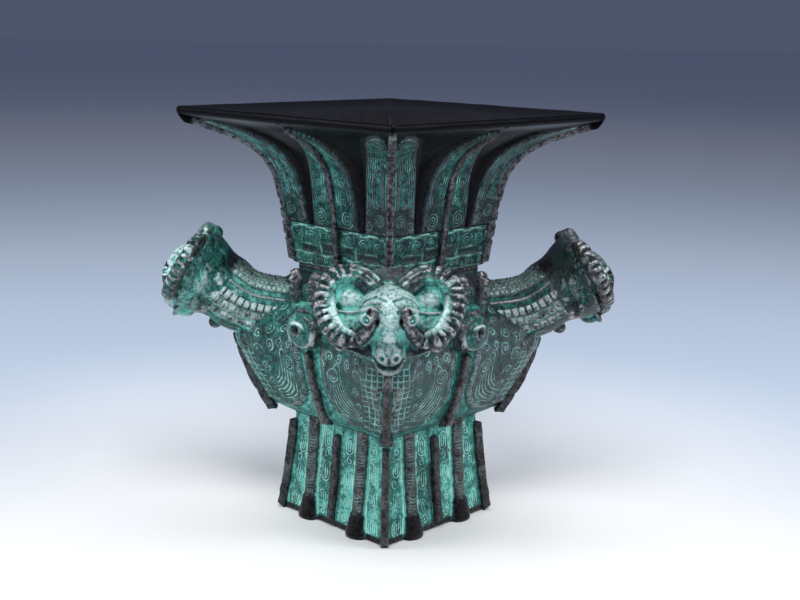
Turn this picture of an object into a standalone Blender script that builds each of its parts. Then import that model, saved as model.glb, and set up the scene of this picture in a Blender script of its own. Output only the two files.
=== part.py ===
"""Square bronze incense burner: a flared square vessel cast in one piece, with four ram heads
on the corners of its body, a small beast head on each shoulder and flanges on every side.

Units are metres and +Z is up. The origin is on the ground under the middle of the foot. The
faces look along X and Y, so the rams stand on the diagonals.
"""
import math

import bmesh
import bpy
from mathutils import Matrix, Vector

# Heights of the zones, from the ground up
FOOT_HEIGHT = 0.0380
BODY_HEIGHT = 0.0300
SHOULDER_HEIGHT = 0.0265
NECK_HEIGHT = 0.0555

# Sides of the square section, from the ground up
FOOT_SIDE = 0.0545
WAIST_SIDE = 0.0474
BODY_BOTTOM_SIDE = 0.0570
BODY_SIDE = 0.0765
NECK_SIDE = 0.0476
RIM_SIDE = 0.1072

# Casting
WALL = 0.0026
FLOOR = 0.0030
RIM_BAND = 0.0030
RIM_FLAT = 0.0014
WAIST_STEP = 0.0040
BASE_GAP = 0.0008
LEDGE_HEIGHT = 0.0024
LEDGE_DEPTH = 0.0008
SHOULDER_BULGE_SHARE = 0.36
BODY_BULGE = 0.0012
NECK_LEAN = 0.12
FLARE_POWER = 7.2
FLARE_STEPS = 7
CURVE_STEPS = 3

# Flanges on the eight ribs, and how deep every carved piece is rooted in the wall
FLANGE_THICKNESS = 0.0027
FLANGE_HEIGHT = 0.0025
FLANGE_TOP_GAP = 0.0055
FLANGE_END_GAP = 0.0022
ROOT = 0.0012

# Carving on the neck
BAND_HEIGHT = 0.0150
BAND_RELIEF = 0.0006
LEAF_RELIEF = 0.0012
CORNER_LEAF_WIDTH = 0.0120
CORNER_LEAF_HEIGHT = 0.0366
FACE_LEAF_WIDTH = 0.0108
LEAF_STEPS = 5

# Carving on the body and foot
FLANK_RELIEF = 0.0013
VALLEY_WIDTH = 0.0060
LEG_WIDTH = 0.0056
LEG_RELIEF = 0.0017
HOOF_WIDTH = 0.0090
HOOF_HEIGHT = 0.0085
HOOF_RELIEF = 0.0036

# Figures: each keeps its own proportions as shares of its length or width
RAM_LENGTH = 0.0270
RAM_LEAN = math.radians(27)
BEAST_WIDTH = 0.0150

# Levels and reaches that follow from the sizes above
BODY_Z = FOOT_HEIGHT
SHOULDER_Z = BODY_Z + BODY_HEIGHT
NECK_Z = SHOULDER_Z + SHOULDER_HEIGHT
HEIGHT = NECK_Z + NECK_HEIGHT
RIM_Z = HEIGHT - RIM_BAND
BAND_Z = NECK_Z + BAND_HEIGHT
CORNER = math.sqrt(2)
BODY_CORNER = BODY_SIDE / 2 * CORNER
DEEP_ROOT = (WALL + ROOT) / 2

# Sides of the square, faces turned less than this many degrees are one plane, and the pieces
# modelled past the wall, which are cut back to end inside it
QUARTERS = 4
FLAT_ANGLE = 1.5
DEEP_PIECES = ("ram_neck", "snout", "beast_neck")


def clear_scene():
    for old in list(bpy.data.objects):
        bpy.data.objects.remove(old, do_unlink=True)


def new_collection(name):
    collection = bpy.data.collections.new(name)
    bpy.context.scene.collection.children.link(collection)
    return collection


def bronze_material():
    """Dark bronze under a thin green patina."""
    material = bpy.data.materials.new("patinated_bronze")
    material.use_nodes = True
    shader = material.node_tree.nodes["Principled BSDF"]
    shader.inputs["Base Color"].default_value = (0.045, 0.105, 0.085, 1)
    shader.inputs["Roughness"].default_value = 0.42
    shader.inputs["Metallic"].default_value = 0.75
    material.diffuse_color = (0.045, 0.105, 0.085, 1)
    return material


def mesh_object(name, bm, collection):
    bmesh.ops.recalc_face_normals(bm, faces=bm.faces)
    mesh = bpy.data.meshes.new(name)
    bm.to_mesh(mesh)
    bm.free()
    item = bpy.data.objects.new(name, mesh)
    collection.objects.link(item)
    return item


def around(item, first_angle):
    """Turn a piece modelled along +X to its place, and set three copies round the axis."""
    start = item.matrix_world.copy()
    for quarter in range(QUARTERS):
        copy = item if quarter == 0 else item.copy()
        if quarter:
            item.users_collection[0].objects.link(copy)
        turn = Matrix.Rotation(first_angle + quarter * math.pi / 2, 4, "Z")
        copy.matrix_world = turn @ start


def on_corners(item):
    around(item, math.radians(45))


def on_faces(item):
    around(item, 0)


def both_sides(item):
    """Mirror a piece across the plane of its own rib, as a second object."""
    twin = item.copy()
    twin.data = item.data.copy()
    twin.data.transform(Matrix.Scale(-1, 4, (0, 1, 0)))
    twin.data.flip_normals()
    item.users_collection[0].objects.link(twin)
    return [item, twin]


def loft(name, rings, collection):
    """Skin closed rings of equally many points, with a flat cap on each end."""
    bm = bmesh.new()
    loops = [[bm.verts.new(point) for point in ring] for ring in rings]
    for low, high in zip(loops, loops[1:]):
        for i in range(len(low)):
            j = (i + 1) % len(low)
            bm.faces.new((low[i], low[j], high[j], high[i]))
    bm.faces.new(list(reversed(loops[0])))
    bm.faces.new(loops[-1])
    return mesh_object(name, bm, collection)


def ball(name, centre, radii, lean, collection, segments=12, rings=8):
    bm = bmesh.new()
    bmesh.ops.create_uvsphere(bm, u_segments=segments, v_segments=rings, radius=1)
    place = Matrix.Translation(centre) @ Matrix.Rotation(-lean, 4, "Y")
    bmesh.ops.transform(bm, matrix=place @ Matrix.Diagonal((*radii, 1)), verts=bm.verts)
    return mesh_object(name, bm, collection)


def curve_to_mesh(item, collection):
    """Make a curve object a plain closed mesh, so that it can take part in a Boolean."""
    graph = bpy.context.evaluated_depsgraph_get()
    mesh = bpy.data.meshes.new_from_object(item.evaluated_get(graph))
    name, place = item.name, item.matrix_world.copy()
    bpy.data.objects.remove(item)
    bm = bmesh.new()
    bm.from_mesh(mesh)
    bmesh.ops.remove_doubles(bm, verts=bm.verts, dist=0.00001)
    solid = mesh_object(name + "_solid", bm, collection)
    solid.matrix_world = place
    return solid


def plate(name, outline, thickness, collection):
    """A flat plate in the vertical plane through +X, from an outline of (reach, height)."""
    curve = bpy.data.curves.new(name, "CURVE")
    curve.dimensions = "2D"
    curve.fill_mode = "BOTH"
    curve.extrude = thickness / 2
    spline = curve.splines.new("POLY")
    spline.points.add(len(outline) - 1)
    for point, (reach, height) in zip(spline.points, outline):
        point.co = (reach, height, 0, 1)
    spline.use_cyclic_u = True
    item = bpy.data.objects.new(name, curve)
    collection.objects.link(item)
    item.matrix_world = Matrix.Rotation(math.pi / 2, 4, "X")
    bpy.context.view_layer.update()
    return curve_to_mesh(item, collection)


def tube(name, points, radii, collection):
    """A tapered round bar through the points."""
    curve = bpy.data.curves.new(name, "CURVE")
    curve.dimensions = "3D"
    curve.bevel_depth = 1
    curve.bevel_resolution = 1
    curve.use_fill_caps = True
    spline = curve.splines.new("POLY")
    spline.points.add(len(points) - 1)
    for knot, point, radius in zip(spline.points, points, radii):
        knot.co = (*point, 1)
        knot.radius = radius
    item = bpy.data.objects.new(name, curve)
    collection.objects.link(item)
    bpy.context.view_layer.update()
    return curve_to_mesh(item, collection)


def mix(a, b, share):
    return a + (b - a) * share


def neck_half_side(z):
    """Half the side of the neck: nearly straight, then flaring fast towards the rim."""
    share = (z - NECK_Z) / (RIM_Z - NECK_Z)
    straight = NECK_SIDE / 2 + NECK_LEAN * (z - NECK_Z)
    reach = RIM_SIDE / 2 - NECK_SIDE / 2 - NECK_LEAN * (RIM_Z - NECK_Z)
    return straight + reach * max(share, 0) ** FLARE_POWER


def neck_levels(low, high, steps):
    """Heights up the neck, closer together where it flares."""
    return [mix(low, high, 1 - (1 - i / steps) ** 1.7) for i in range(steps + 1)]


def body_half_side(z):
    """Half the side of the body, which swells a little between waist and shoulder."""
    share = (z - BODY_Z) / BODY_HEIGHT
    return mix(BODY_BOTTOM_SIDE, BODY_SIDE, share) / 2 + BODY_BULGE * math.sin(math.pi * share)


def foot_half_side(z):
    share = 1 - z / FOOT_HEIGHT
    return mix(WAIST_SIDE, FOOT_SIDE, share ** 1.5) / 2


def shoulder_points():
    """Outer line of the shoulder, from under the neck out to the body's widest line."""
    start = Vector((NECK_SIDE / 2 - LEDGE_DEPTH, NECK_Z - LEDGE_HEIGHT))
    end = Vector((BODY_SIDE / 2, SHOULDER_Z))
    bulge = Vector((SHOULDER_HEIGHT, end.x - start.x)).normalized() * SHOULDER_BULGE_SHARE
    points = []
    for i in range(CURVE_STEPS + 1):
        share = i / CURVE_STEPS
        swell = bulge * SHOULDER_HEIGHT * share * (1 - share)
        points.append(start.lerp(end, share) + swell)
    return points


def outer_line():
    """The vessel's outer line as (half side, height), from the rim down to the ground."""
    line = [Vector((RIM_SIDE / 2, HEIGHT))]
    for z in reversed(neck_levels(NECK_Z, RIM_Z, FLARE_STEPS)):
        line.append(Vector((neck_half_side(z), z)))
    line.append(Vector((NECK_SIDE / 2 - LEDGE_DEPTH, NECK_Z)))
    line += shoulder_points()
    for i in range(1, CURVE_STEPS + 1):
        z = mix(SHOULDER_Z, BODY_Z + WAIST_STEP, i / CURVE_STEPS)
        line.append(Vector((body_half_side(z), z)))
    for i in range(CURVE_STEPS + 1):
        z = mix(FOOT_HEIGHT, BASE_GAP, i / CURVE_STEPS)
        line.append(Vector((foot_half_side(z), z)))
    return line


def inside_line(wall, floor, top):
    """The inside from the mouth down to the floor, one wall within the outer line."""
    low_z = BODY_Z + WAIST_STEP
    line = list(top)
    levels = neck_levels(NECK_Z, RIM_Z, FLARE_STEPS)
    mouth = []
    for low, z, high in zip(levels, levels[1:], levels[2:]):
        along = Vector((neck_half_side(high) - neck_half_side(low), high - low)).normalized()
        point = Vector((neck_half_side(z), z)) + Vector((-along.y, along.x)) * wall
        if point.x < RIM_SIDE / 2 - RIM_FLAT * 2 and point.y < HEIGHT - RIM_BAND / 5:
            mouth.append(point)
    line += reversed(mouth)
    throat = NECK_SIDE / 2 - LEDGE_DEPTH - wall
    line.append(Vector((throat, NECK_Z - LEDGE_HEIGHT - wall)))
    for point in shoulder_points()[1:-1]:
        down = Vector((SHOULDER_HEIGHT, BODY_SIDE / 2 - throat)).normalized() * wall
        line.append(point - down)
    for i in range(CURVE_STEPS + 1):
        z = mix(SHOULDER_Z, low_z + wall, i / CURVE_STEPS)
        line.append(Vector((body_half_side(z) - wall, z)))
    line.append(Vector((WAIST_SIDE / 2 - wall, BODY_Z + floor)))
    return line


def foot_hollow_line():
    """The hollow under the floor, from the ground up."""
    line = [Vector((foot_half_side(0) - WALL, BASE_GAP))]
    line.append(Vector((foot_half_side(BODY_Z / 2) - WALL, BODY_Z / 2)))
    line.append(Vector((WAIST_SIDE / 2 - WALL, BODY_Z - WALL)))
    return line


def square_solid(name, line, collection):
    """A solid of square section: one line turned in four steps, from its top to its bottom."""
    bm = bmesh.new()
    closed = [Vector((0, line[0].y))] + line + [Vector((0, line[-1].y))]
    verts = [bm.verts.new((point.x * CORNER, 0, point.y)) for point in closed]
    for a, b in zip(verts, verts[1:]):
        bm.edges.new((a, b))
    mesh = bpy.data.meshes.new(name)
    bm.to_mesh(mesh)
    bm.free()
    solid = bpy.data.objects.new(name, mesh)
    collection.objects.link(solid)
    solid.rotation_euler.z = math.radians(45)
    screw = solid.modifiers.new("square section", "SCREW")
    screw.axis = "Z"
    screw.angle = 2 * math.pi
    screw.steps = QUARTERS
    screw.render_steps = QUARTERS
    screw.use_merge_vertices = True
    screw.merge_threshold = 0.00001
    screw.use_smooth_shade = False
    return solid


def rib_line(half_side, levels, scale, proud):
    """Points a set distance outside the wall's line, seen along a face or along a diagonal."""
    points = []
    for i, z in enumerate(levels):
        low = levels[max(i - 1, 0)]
        high = levels[min(i + 1, len(levels) - 1)]
        along = Vector(((half_side(high) - half_side(low)) * scale, high - low)).normalized()
        if along.y < 0:
            along = -along
        points.append(Vector((half_side(z) * scale, z)) + Vector((along.y, -along.x)) * proud)
    return points


def rib(name, half_side, levels, scale, collection):
    """A flange standing on the wall between the levels, chamfered at both ends."""
    outer = rib_line(half_side, levels, scale, FLANGE_HEIGHT)
    inner = rib_line(half_side, levels, scale, -ROOT)
    start = rib_line(half_side, levels, scale, 0)[0]
    end = rib_line(half_side, levels, scale, 0)[-1]
    outline = [start] + outer[1:-1] + [end] + list(reversed(inner))
    return plate(name, outline, FLANGE_THICKNESS, collection)


def neck_flanges(collection):
    levels = neck_levels(NECK_Z + FLANGE_END_GAP / 4, RIM_Z - FLANGE_TOP_GAP / 4, FLARE_STEPS)
    on_corners(rib("neck_corner_flange", neck_half_side, levels, CORNER, collection))
    on_faces(rib("neck_face_flange", neck_half_side, levels, 1, collection))


def chest_flanges(collection):
    """Flanges down the chests, each ending in a point that stands clear of the waist."""
    top = SHOULDER_Z + BODY_HEIGHT / 8
    tip = BODY_Z + WAIST_STEP / 4
    levels = [mix(tip + WAIST_STEP, SHOULDER_Z, i / 4) for i in range(5)]
    outer = rib_line(body_half_side, levels, CORNER, FLANGE_HEIGHT)
    point = Vector((BODY_BOTTOM_SIDE / 2 * CORNER + FLANGE_HEIGHT, tip))
    head = Vector((BODY_CORNER + FLANGE_HEIGHT * 2.4, top))
    root = Vector((BODY_BOTTOM_SIDE / 2 * CORNER - WALL, tip + WAIST_STEP))
    outline = [point] + outer + [head, Vector((BODY_CORNER - ROOT, top)), root]
    on_corners(plate("chest_flange", outline, FLANGE_THICKNESS, collection))
    levels = [mix(BODY_Z + WAIST_STEP, SHOULDER_Z, i / 3) for i in range(4)]
    on_faces(rib("body_face_flange", body_half_side, levels, 1, collection))


def foot_flanges(collection):
    """Flanges down the foot: the corner ones run from the waist to the ground."""
    levels = [mix(0, FOOT_HEIGHT - WAIST_STEP, i / 3) for i in range(4)]
    outer = rib_line(foot_half_side, levels, CORNER, FLANGE_HEIGHT)
    inner = rib_line(foot_half_side, levels, CORNER, -ROOT)
    outer[0].y = inner[0].y = 0
    outer.insert(1, Vector((outer[0].x + FLANGE_HEIGHT / 5, FLANGE_HEIGHT * 1.2)))
    outer[0].x -= FLANGE_HEIGHT / 3
    outline = outer + list(reversed(inner))
    on_corners(plate("foot_corner_flange", outline, FLANGE_THICKNESS, collection))
    levels = [mix(FLANGE_HEIGHT / 2, FOOT_HEIGHT - WAIST_STEP, i / 3) for i in range(4)]
    on_faces(rib("foot_face_flange", foot_half_side, levels, 1, collection))


def panel(name, half_side, levels, edges, relief, collection):
    """A raised panel on the face that looks along +X, between two edges at each level."""
    outer = rib_line(half_side, levels, 1, relief)
    inner = rib_line(half_side, levels, 1, -ROOT)
    rings = []
    for (low, high), top, root in zip(edges, outer, inner):
        soft = min(relief, (high - low) / 3)
        rings.append([
            Vector((root.x, low, root.y)),
            Vector((root.x, high, root.y)),
            Vector((top.x, high - soft, top.y)),
            Vector((top.x, low + soft, top.y)),
        ])
    return loft(name, rings, collection)


def corner_panel(name, half_side, levels, widths, relief, collection):
    """A raised panel bent round the corner that stands along +X, as wide on both faces."""
    outer = rib_line(half_side, levels, 1, relief)
    inner = rib_line(half_side, levels, 1, -ROOT)
    rings = []
    for z, width, top, root in zip(levels, widths, outer, inner):
        soft = min(relief, width / 3)
        edge = half_side(z) - width
        inside = [(edge, 1), (root.x, 1), (edge, -1)]
        outside = [(edge + soft, -1), (top.x, 1), (edge + soft, 1)]
        ring = [face_point(root, *place) for place in inside]
        rings.append(ring + [face_point(top, *place) for place in outside])
    return loft(name, rings, collection)


def face_point(spot, across, side):
    """A point on one of the two faces beside the corner along +X, as far across as given."""
    reach = (spot.x + across) / CORNER
    return Vector((reach, side * (spot.x - across) / CORNER, spot.y))


def leaves(collection):
    """Upright leaves: round-topped ones bent round each corner, pointed ones on each face."""
    levels, widths = [], []
    for i in range(LEAF_STEPS + 1):
        rise = math.sin(i / LEAF_STEPS * math.pi / 2)
        rounding = 1 - 0.6 * max(rise - 0.8, 0) ** 2 / 0.04
        levels.append(mix(BAND_Z, BAND_Z + CORNER_LEAF_HEIGHT, rise))
        widths.append(CORNER_LEAF_WIDTH * rounding)
    on_corners(corner_panel("corner_leaf", neck_half_side, levels, widths, LEAF_RELIEF, collection))
    levels = neck_levels(BAND_Z, RIM_Z - FLANGE_TOP_GAP / 3, LEAF_STEPS)
    edges = []
    for z in levels:
        share = (neck_half_side(z) - neck_half_side(BAND_Z)) / (RIM_SIDE / 2 - NECK_SIDE / 2)
        width = FACE_LEAF_WIDTH * (1 - share ** 1.5) + FLANGE_THICKNESS / 4
        edges.append((-width, width))
    on_faces(panel("face_leaf", neck_half_side, levels, edges, LEAF_RELIEF, collection))


def neck_band(collection):
    """The band round the foot of the neck: a square ring rooted in the wall."""
    low, high = NECK_Z + ROOT / 3, BAND_Z - ROOT / 3
    profile = [
        (neck_half_side(high) - ROOT, high),
        (neck_half_side(high) + BAND_RELIEF, high),
        (neck_half_side(low) + BAND_RELIEF, low),
        (neck_half_side(low) - ROOT, low),
    ]
    corners = ((1, 1), (-1, 1), (-1, -1), (1, -1))
    rings = []
    for reach, z in profile:
        rings.append([Vector((reach * x, reach * y, z)) for x, y in corners])
    bm = bmesh.new()
    loops = [[bm.verts.new(point) for point in ring] for ring in rings]
    for this, after in zip(loops, loops[1:] + loops[:1]):
        for i in range(QUARTERS):
            j = (i + 1) % QUARTERS
            bm.faces.new((this[i], this[j], after[j], after[i]))
    mesh_object("neck_band", bm, collection)


def flanks(collection):
    """Swelling flanks bent round each corner, which leave a valley down each face."""
    levels, widths = [], []
    for i in range(CURVE_STEPS + 1):
        share = i / CURVE_STEPS
        z = mix(BODY_Z + WAIST_STEP * 1.3, SHOULDER_Z - ROOT / 4, share)
        levels.append(z)
        widths.append(body_half_side(z) - VALLEY_WIDTH / 2 * mix(1, 1.5, share))
    on_corners(corner_panel("flank", body_half_side, levels, widths, FLANK_RELIEF, collection))


def legs(collection):
    """Two round legs on each side of the foot, ending in splayed hooves on the ground."""
    for side in (-1, 1):
        rings = []
        spots = [
            (0, HOOF_WIDTH, HOOF_RELIEF),
            (HOOF_HEIGHT, LEG_WIDTH, LEG_RELIEF),
            (FOOT_HEIGHT - WAIST_STEP / 2, LEG_WIDTH * 0.9, LEG_RELIEF),
            (FOOT_HEIGHT + WAIST_STEP / 2, LEG_WIDTH * 0.8, LEG_RELIEF),
        ]
        for z, width, relief in spots:
            wall = foot_half_side(min(z, FOOT_HEIGHT))
            centre = side * mix(WAIST_SIDE, FOOT_SIDE, 0.5) / 4
            root = wall - ROOT
            ring = [Vector((root, centre + width / 2, z)), Vector((root, centre - width / 2, z))]
            for i in range(4):
                angle = math.pi * (1 - i / 3)
                across = centre + math.cos(angle) * width / 2
                ring.append(Vector((wall + math.sin(angle) * relief, across, z)))
            rings.append(ring)
        on_faces(loft("leg", rings, collection))


def ram_point(out, side, up):
    """A place on a ram, in shares of its length, measured from the body's corner."""
    return Vector((BODY_CORNER + out * RAM_LENGTH, side * RAM_LENGTH, SHOULDER_Z + up * RAM_LENGTH))


# A ram's neck as (out, up, half width, half height, lean in degrees), from inside the body
# to the flared back of the horns
RAM_NECK = (
    (-0.80, 0.30, 0.34, 0.44, 0),
    (-0.22, 0.38, 0.36, 0.44, 8),
    (0.05, 0.50, 0.42, 0.52, 20),
    (0.26, 0.67, 0.49, 0.475, 25),
    (0.42, 0.77, 0.60, 0.54, 27),
    (0.53, 0.86, 0.76, 0.56, 27),
    (0.60, 0.89, 0.82, 0.56, 27),
)
RAM_SIDES = 10


def ram_ring(out, up, half_width, half_height, lean):
    tilt = math.radians(lean)
    rise = Vector((-math.sin(tilt), 0, math.cos(tilt)))
    ring = []
    for i in range(RAM_SIDES):
        angle = 2 * math.pi * i / RAM_SIDES
        point = ram_point(out, math.cos(angle) * half_width, up)
        ring.append(point + rise * math.sin(angle) * half_height * RAM_LENGTH)
    return ring


def ram_plane(side, rise, front):
    """A place on the leaning plane of the horns, in shares of the ram's length."""
    centre = ram_point(0.62, 0, 0.81)
    up = Vector((-math.sin(RAM_LEAN), 0, math.cos(RAM_LEAN)))
    ahead = Vector((math.cos(RAM_LEAN), 0, math.sin(RAM_LEAN)))
    return centre + (Vector((0, side, 0)) + up * rise + ahead * front) * RAM_LENGTH


def horn(collection):
    """A ribbed horn: over the top of the head, round outside the ear and in beside the muzzle."""
    turns = 12
    points, radii = [], []
    for i in range(turns + 1):
        share = i / turns
        angle = math.radians(mix(158, -168, share))
        side = 0.45 + math.cos(angle) * mix(0.32, 0.27, share)
        rise = mix(0.19, 0.12, share) + math.sin(angle) * mix(0.28, 0.46, share)
        tip = max(share - 0.80, 0) / 0.20
        front = mix(0.05, 0.13, share) + 0.06 * math.sin(math.pi * share) + 0.21 * tip
        points.append(ram_plane(side, rise, front))
        ridge = 1.06 if i % 2 else 0.90
        radii.append(mix(0.125, 0.045, max(share - 0.62, 0) / 0.38) * ridge * RAM_LENGTH)
    return tube("horn", points, radii, collection)


def ram_ball(name, place, radii, lean, collection, segments=8, rings=4):
    """A ball of a ram's flesh, with its place and radii in shares of the ram's length."""
    return ball(name, place, Vector(radii) * RAM_LENGTH, lean, collection, segments, rings)


def ram_head(collection):
    """Skull, muzzle, nose, lower lip, throat, eyes, ears, cheeks and horns."""
    pieces = [
        ram_ball("skull", ram_point(0.62, 0, 0.86), (0.36, 0.37, 0.35), 0, collection, 12, 6),
        ram_ball("nose", ram_point(0.86, 0, 0.475), (0.15, 0.16, 0.14), 0, collection),
        ram_ball("lip", ram_point(0.79, 0, 0.305), (0.155, 0.16, 0.075), 0.2, collection),
        ram_ball("throat", ram_point(0.34, 0, 0.13), (0.09, 0.07, 0.08), 0, collection, 6, 3),
    ]
    sections = ((0.69, 0.83, 0.26, 0.25), (0.79, 0.66, 0.155, 0.18), (0.77, 0.31, 0.14, 0.13))
    rings = []
    for out, up, width, depth in sections:
        ring = []
        for i in range(8):
            angle = 2 * math.pi * i / 8
            ring.append(ram_point(out + math.cos(angle) * depth, math.sin(angle) * width, up))
        rings.append(ring)
    pieces.append(loft("muzzle", rings, collection))
    for piece in pieces:
        on_corners(piece)
    lean = RAM_LEAN
    halves = [
        ram_ball("eye", ram_point(0.86, 0.275, 0.84), (0.085, 0.08, 0.06), 0, collection, 5, 3),
        ram_ball("ear", ram_plane(0.48, 0.22, 0.06), (0.10, 0.155, 0.135), lean, collection, 6, 3),
        ram_ball("ear_leaf", ram_plane(0.47, -0.03, 0.05), (0.075, 0.17, 0.16), lean, collection, 6, 3),
        ram_ball("cheek", ram_point(0.44, 0.60, 0.80), (0.10, 0.09, 0.17), lean, collection, 6, 3),
        horn(collection),
    ]
    for half in halves:
        for item in both_sides(half):
            on_corners(item)


def ram_scales(collection):
    """Rows of raised scales along both sides of each ram's neck."""
    bm = bmesh.new()
    size = Vector((0.15, 0.06, 0.13)) * RAM_LENGTH
    for row in range(2):
        angle = math.radians(8 + 26 * row)
        for column in range(3):
            low = Vector(RAM_NECK[1]).lerp(Vector(RAM_NECK[3]), column / 3 + 0.15)
            tilt = math.radians(low[4])
            rise = Vector((-math.sin(tilt), 0, math.cos(tilt)))
            centre = ram_point(low[0], math.cos(angle) * low[2], low[1])
            centre += rise * math.sin(angle) * low[3] * RAM_LENGTH
            turn = Matrix.Rotation(angle, 3, "X") @ Matrix.Rotation(math.radians(-38), 3, "Y")
            box = bmesh.ops.create_cube(bm, size=1)["verts"]
            place = Matrix.Translation(centre) @ (turn @ Matrix.Diagonal(size)).to_4x4()
            bmesh.ops.transform(bm, matrix=place, verts=box)
    scales = mesh_object("scales", bm, collection)
    for item in both_sides(scales):
        on_corners(item)


def rams(collection):
    neck = loft("ram_neck", [ram_ring(*section) for section in RAM_NECK], collection)
    on_corners(neck)
    ram_head(collection)
    ram_scales(collection)


def beast_point(out, side, up):
    """A place on a shoulder beast, in shares of its width, from the body's edge."""
    return Vector((BODY_SIDE / 2 + out * BEAST_WIDTH, side * BEAST_WIDTH, SHOULDER_Z + up * BEAST_WIDTH))


def beasts(collection):
    """A small beast head on the middle of each shoulder, with two upright horns."""
    size = Vector((0.41, 0.48, 0.48)) * BEAST_WIDTH
    on_faces(ball("snout", beast_point(0.06, 0, 0.53), size, 0, collection, 10, 6))
    section = ((-1, -0.9), (1, -0.9), (1, -0.1), (0.6, 0), (-0.6, 0), (-1, -0.1))
    rings = []
    for out, up, wide in ((-0.75, 0.95, 0.30), (-0.40, 0.95, 0.34), (0.06, 0.75, 0.36)):
        rings.append([beast_point(out, side * wide, up + level) for side, level in section])
    on_faces(loft("beast_neck", rings, collection))
    posts = ((0.60, 0.14), (1.55, 0.13), (1.73, 0.15), (1.92, 0.07))
    points = [beast_point(0.10, 0.333, up) for up, share in posts]
    radii = [share * BEAST_WIDTH for up, share in posts]
    for item in both_sides(tube("beast_horn", points, radii, collection)):
        on_faces(item)


def combine(item, name, operation, collection):
    """Add every piece of a collection to a solid, or cut them all out of it."""
    step = item.modifiers.new(name, "BOOLEAN")
    step.operation = operation
    step.operand_type = "COLLECTION"
    step.collection = collection
    step.solver = "EXACT"
    for piece in collection.objects:
        piece.hide_render = True
        piece.display_type = "WIRE"


def merge_flat_faces(item):
    """Join the faces that lie in one plane, which the union leaves cut up."""
    step = item.modifiers.new("flat faces", "DECIMATE")
    step.decimate_type = "DISSOLVE"
    step.angle_limit = math.radians(FLAT_ANGLE)


def main():
    clear_scene()
    model = new_collection("square_incense_burner")
    carving = new_collection("carved_pieces")
    roots = new_collection("root_limits")
    inside = list(reversed(inside_line(WALL, FLOOR, [Vector((RIM_SIDE / 2 - RIM_FLAT, HEIGHT))])))
    core = square_solid("incense_burner", inside + outer_line() + foot_hollow_line(), model)
    core.data.materials.append(bronze_material())
    over_mouth = [Vector((RIM_SIDE / 2 - RIM_FLAT, HEIGHT + WALL))]
    square_solid("middle_of_wall", inside_line(DEEP_ROOT, FLOOR / 2, over_mouth), roots)
    neck_flanges(carving)
    chest_flanges(carving)
    foot_flanges(carving)
    leaves(carving)
    neck_band(carving)
    flanks(carving)
    legs(carving)
    rams(carving)
    beasts(carving)
    for piece in carving.objects:
        if piece.name.startswith(DEEP_PIECES):
            combine(piece, "root inside the wall", "DIFFERENCE", roots)
    combine(core, "one casting", "UNION", carving)
    merge_flat_faces(core)


main()
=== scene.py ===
"""Square bronze incense burner: the looks built round the CAD solid.

All shapes here are in millimetres, in the frame of the CAD, and are scaled to metres when they
become meshes. The vessel is three skins of square section (neck, body, foot) whose carving is
real relief, with flanges standing on them. Each ram is one remeshed form with its own carving.
"""

import itertools
import math

import bmesh
import bpy
import numpy as np
from mathutils import Matrix, Quaternion, Vector


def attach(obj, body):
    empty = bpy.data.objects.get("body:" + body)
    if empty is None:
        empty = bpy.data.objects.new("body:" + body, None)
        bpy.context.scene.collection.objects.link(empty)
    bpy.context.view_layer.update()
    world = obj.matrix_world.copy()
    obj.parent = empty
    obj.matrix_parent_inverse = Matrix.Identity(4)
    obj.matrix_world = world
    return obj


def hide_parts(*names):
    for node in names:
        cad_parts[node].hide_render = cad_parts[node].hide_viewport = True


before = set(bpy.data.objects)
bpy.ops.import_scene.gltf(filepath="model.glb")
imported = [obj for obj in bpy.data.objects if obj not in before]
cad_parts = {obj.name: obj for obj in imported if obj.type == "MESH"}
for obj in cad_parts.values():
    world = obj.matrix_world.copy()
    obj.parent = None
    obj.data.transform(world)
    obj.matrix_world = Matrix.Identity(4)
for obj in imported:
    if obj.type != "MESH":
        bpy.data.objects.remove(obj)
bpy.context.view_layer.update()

METRES = 0.001

# Heights of the zones, from the ground up, and sides of the square section, as in the CAD
FOOT_HEIGHT = 38.0
BODY_HEIGHT = 30.0
SHOULDER_HEIGHT = 26.5
NECK_HEIGHT = 55.5
FOOT_SIDE = 54.5
WAIST_SIDE = 47.4
BODY_BOTTOM_SIDE = 57.0
BODY_SIDE = 76.5
NECK_SIDE = 47.6
RIM_SIDE = 107.2

# Casting
WALL = 2.6
RIM_BAND = 3.0
WAIST_STEP = 4.0
LEDGE_HEIGHT = 2.4
LEDGE_DEPTH = 0.8
SHOULDER_BULGE = 0.36
BODY_BULGE = 1.2
NECK_LEAN = 0.12
FLARE_POWER = 7.2
FLANGE_THICKNESS = 2.7
FLANGE_HEIGHT = 2.5

# Carving
BAND_HEIGHT = 15.0
BAND_RELIEF = 0.6
LEAF_RELIEF = 1.2
LEAF_STRETCH = 2.2
CORNER_LEAF_WIDTH = 12.0
CORNER_LEAF_HEIGHT = 36.6
FACE_LEAF_WIDTH = 10.8
FLANK_RELIEF = 1.3
VALLEY_WIDTH = 6.0
LEG_WIDTH = 5.6
LEG_RELIEF = 1.7
HOOF_WIDTH = 9.0
HOOF_HEIGHT = 8.5
HOOF_RELIEF = 3.6
LINE_PITCH = 1.1
SPIRAL_PITCH = 1.2
FINE_PITCH = 0.95
LINE_WIDTH = 0.75
LADDER_START = 2.2
RUNG_WIDTH = 2.6
RUNG_HEIGHT = 2.2

# Figures
RAM_LENGTH = 27.0
RAM_LEAN = math.radians(27)
HORN_CENTRE = (0.45, 0.165)
BEAST_WIDTH = 15.0

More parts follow.
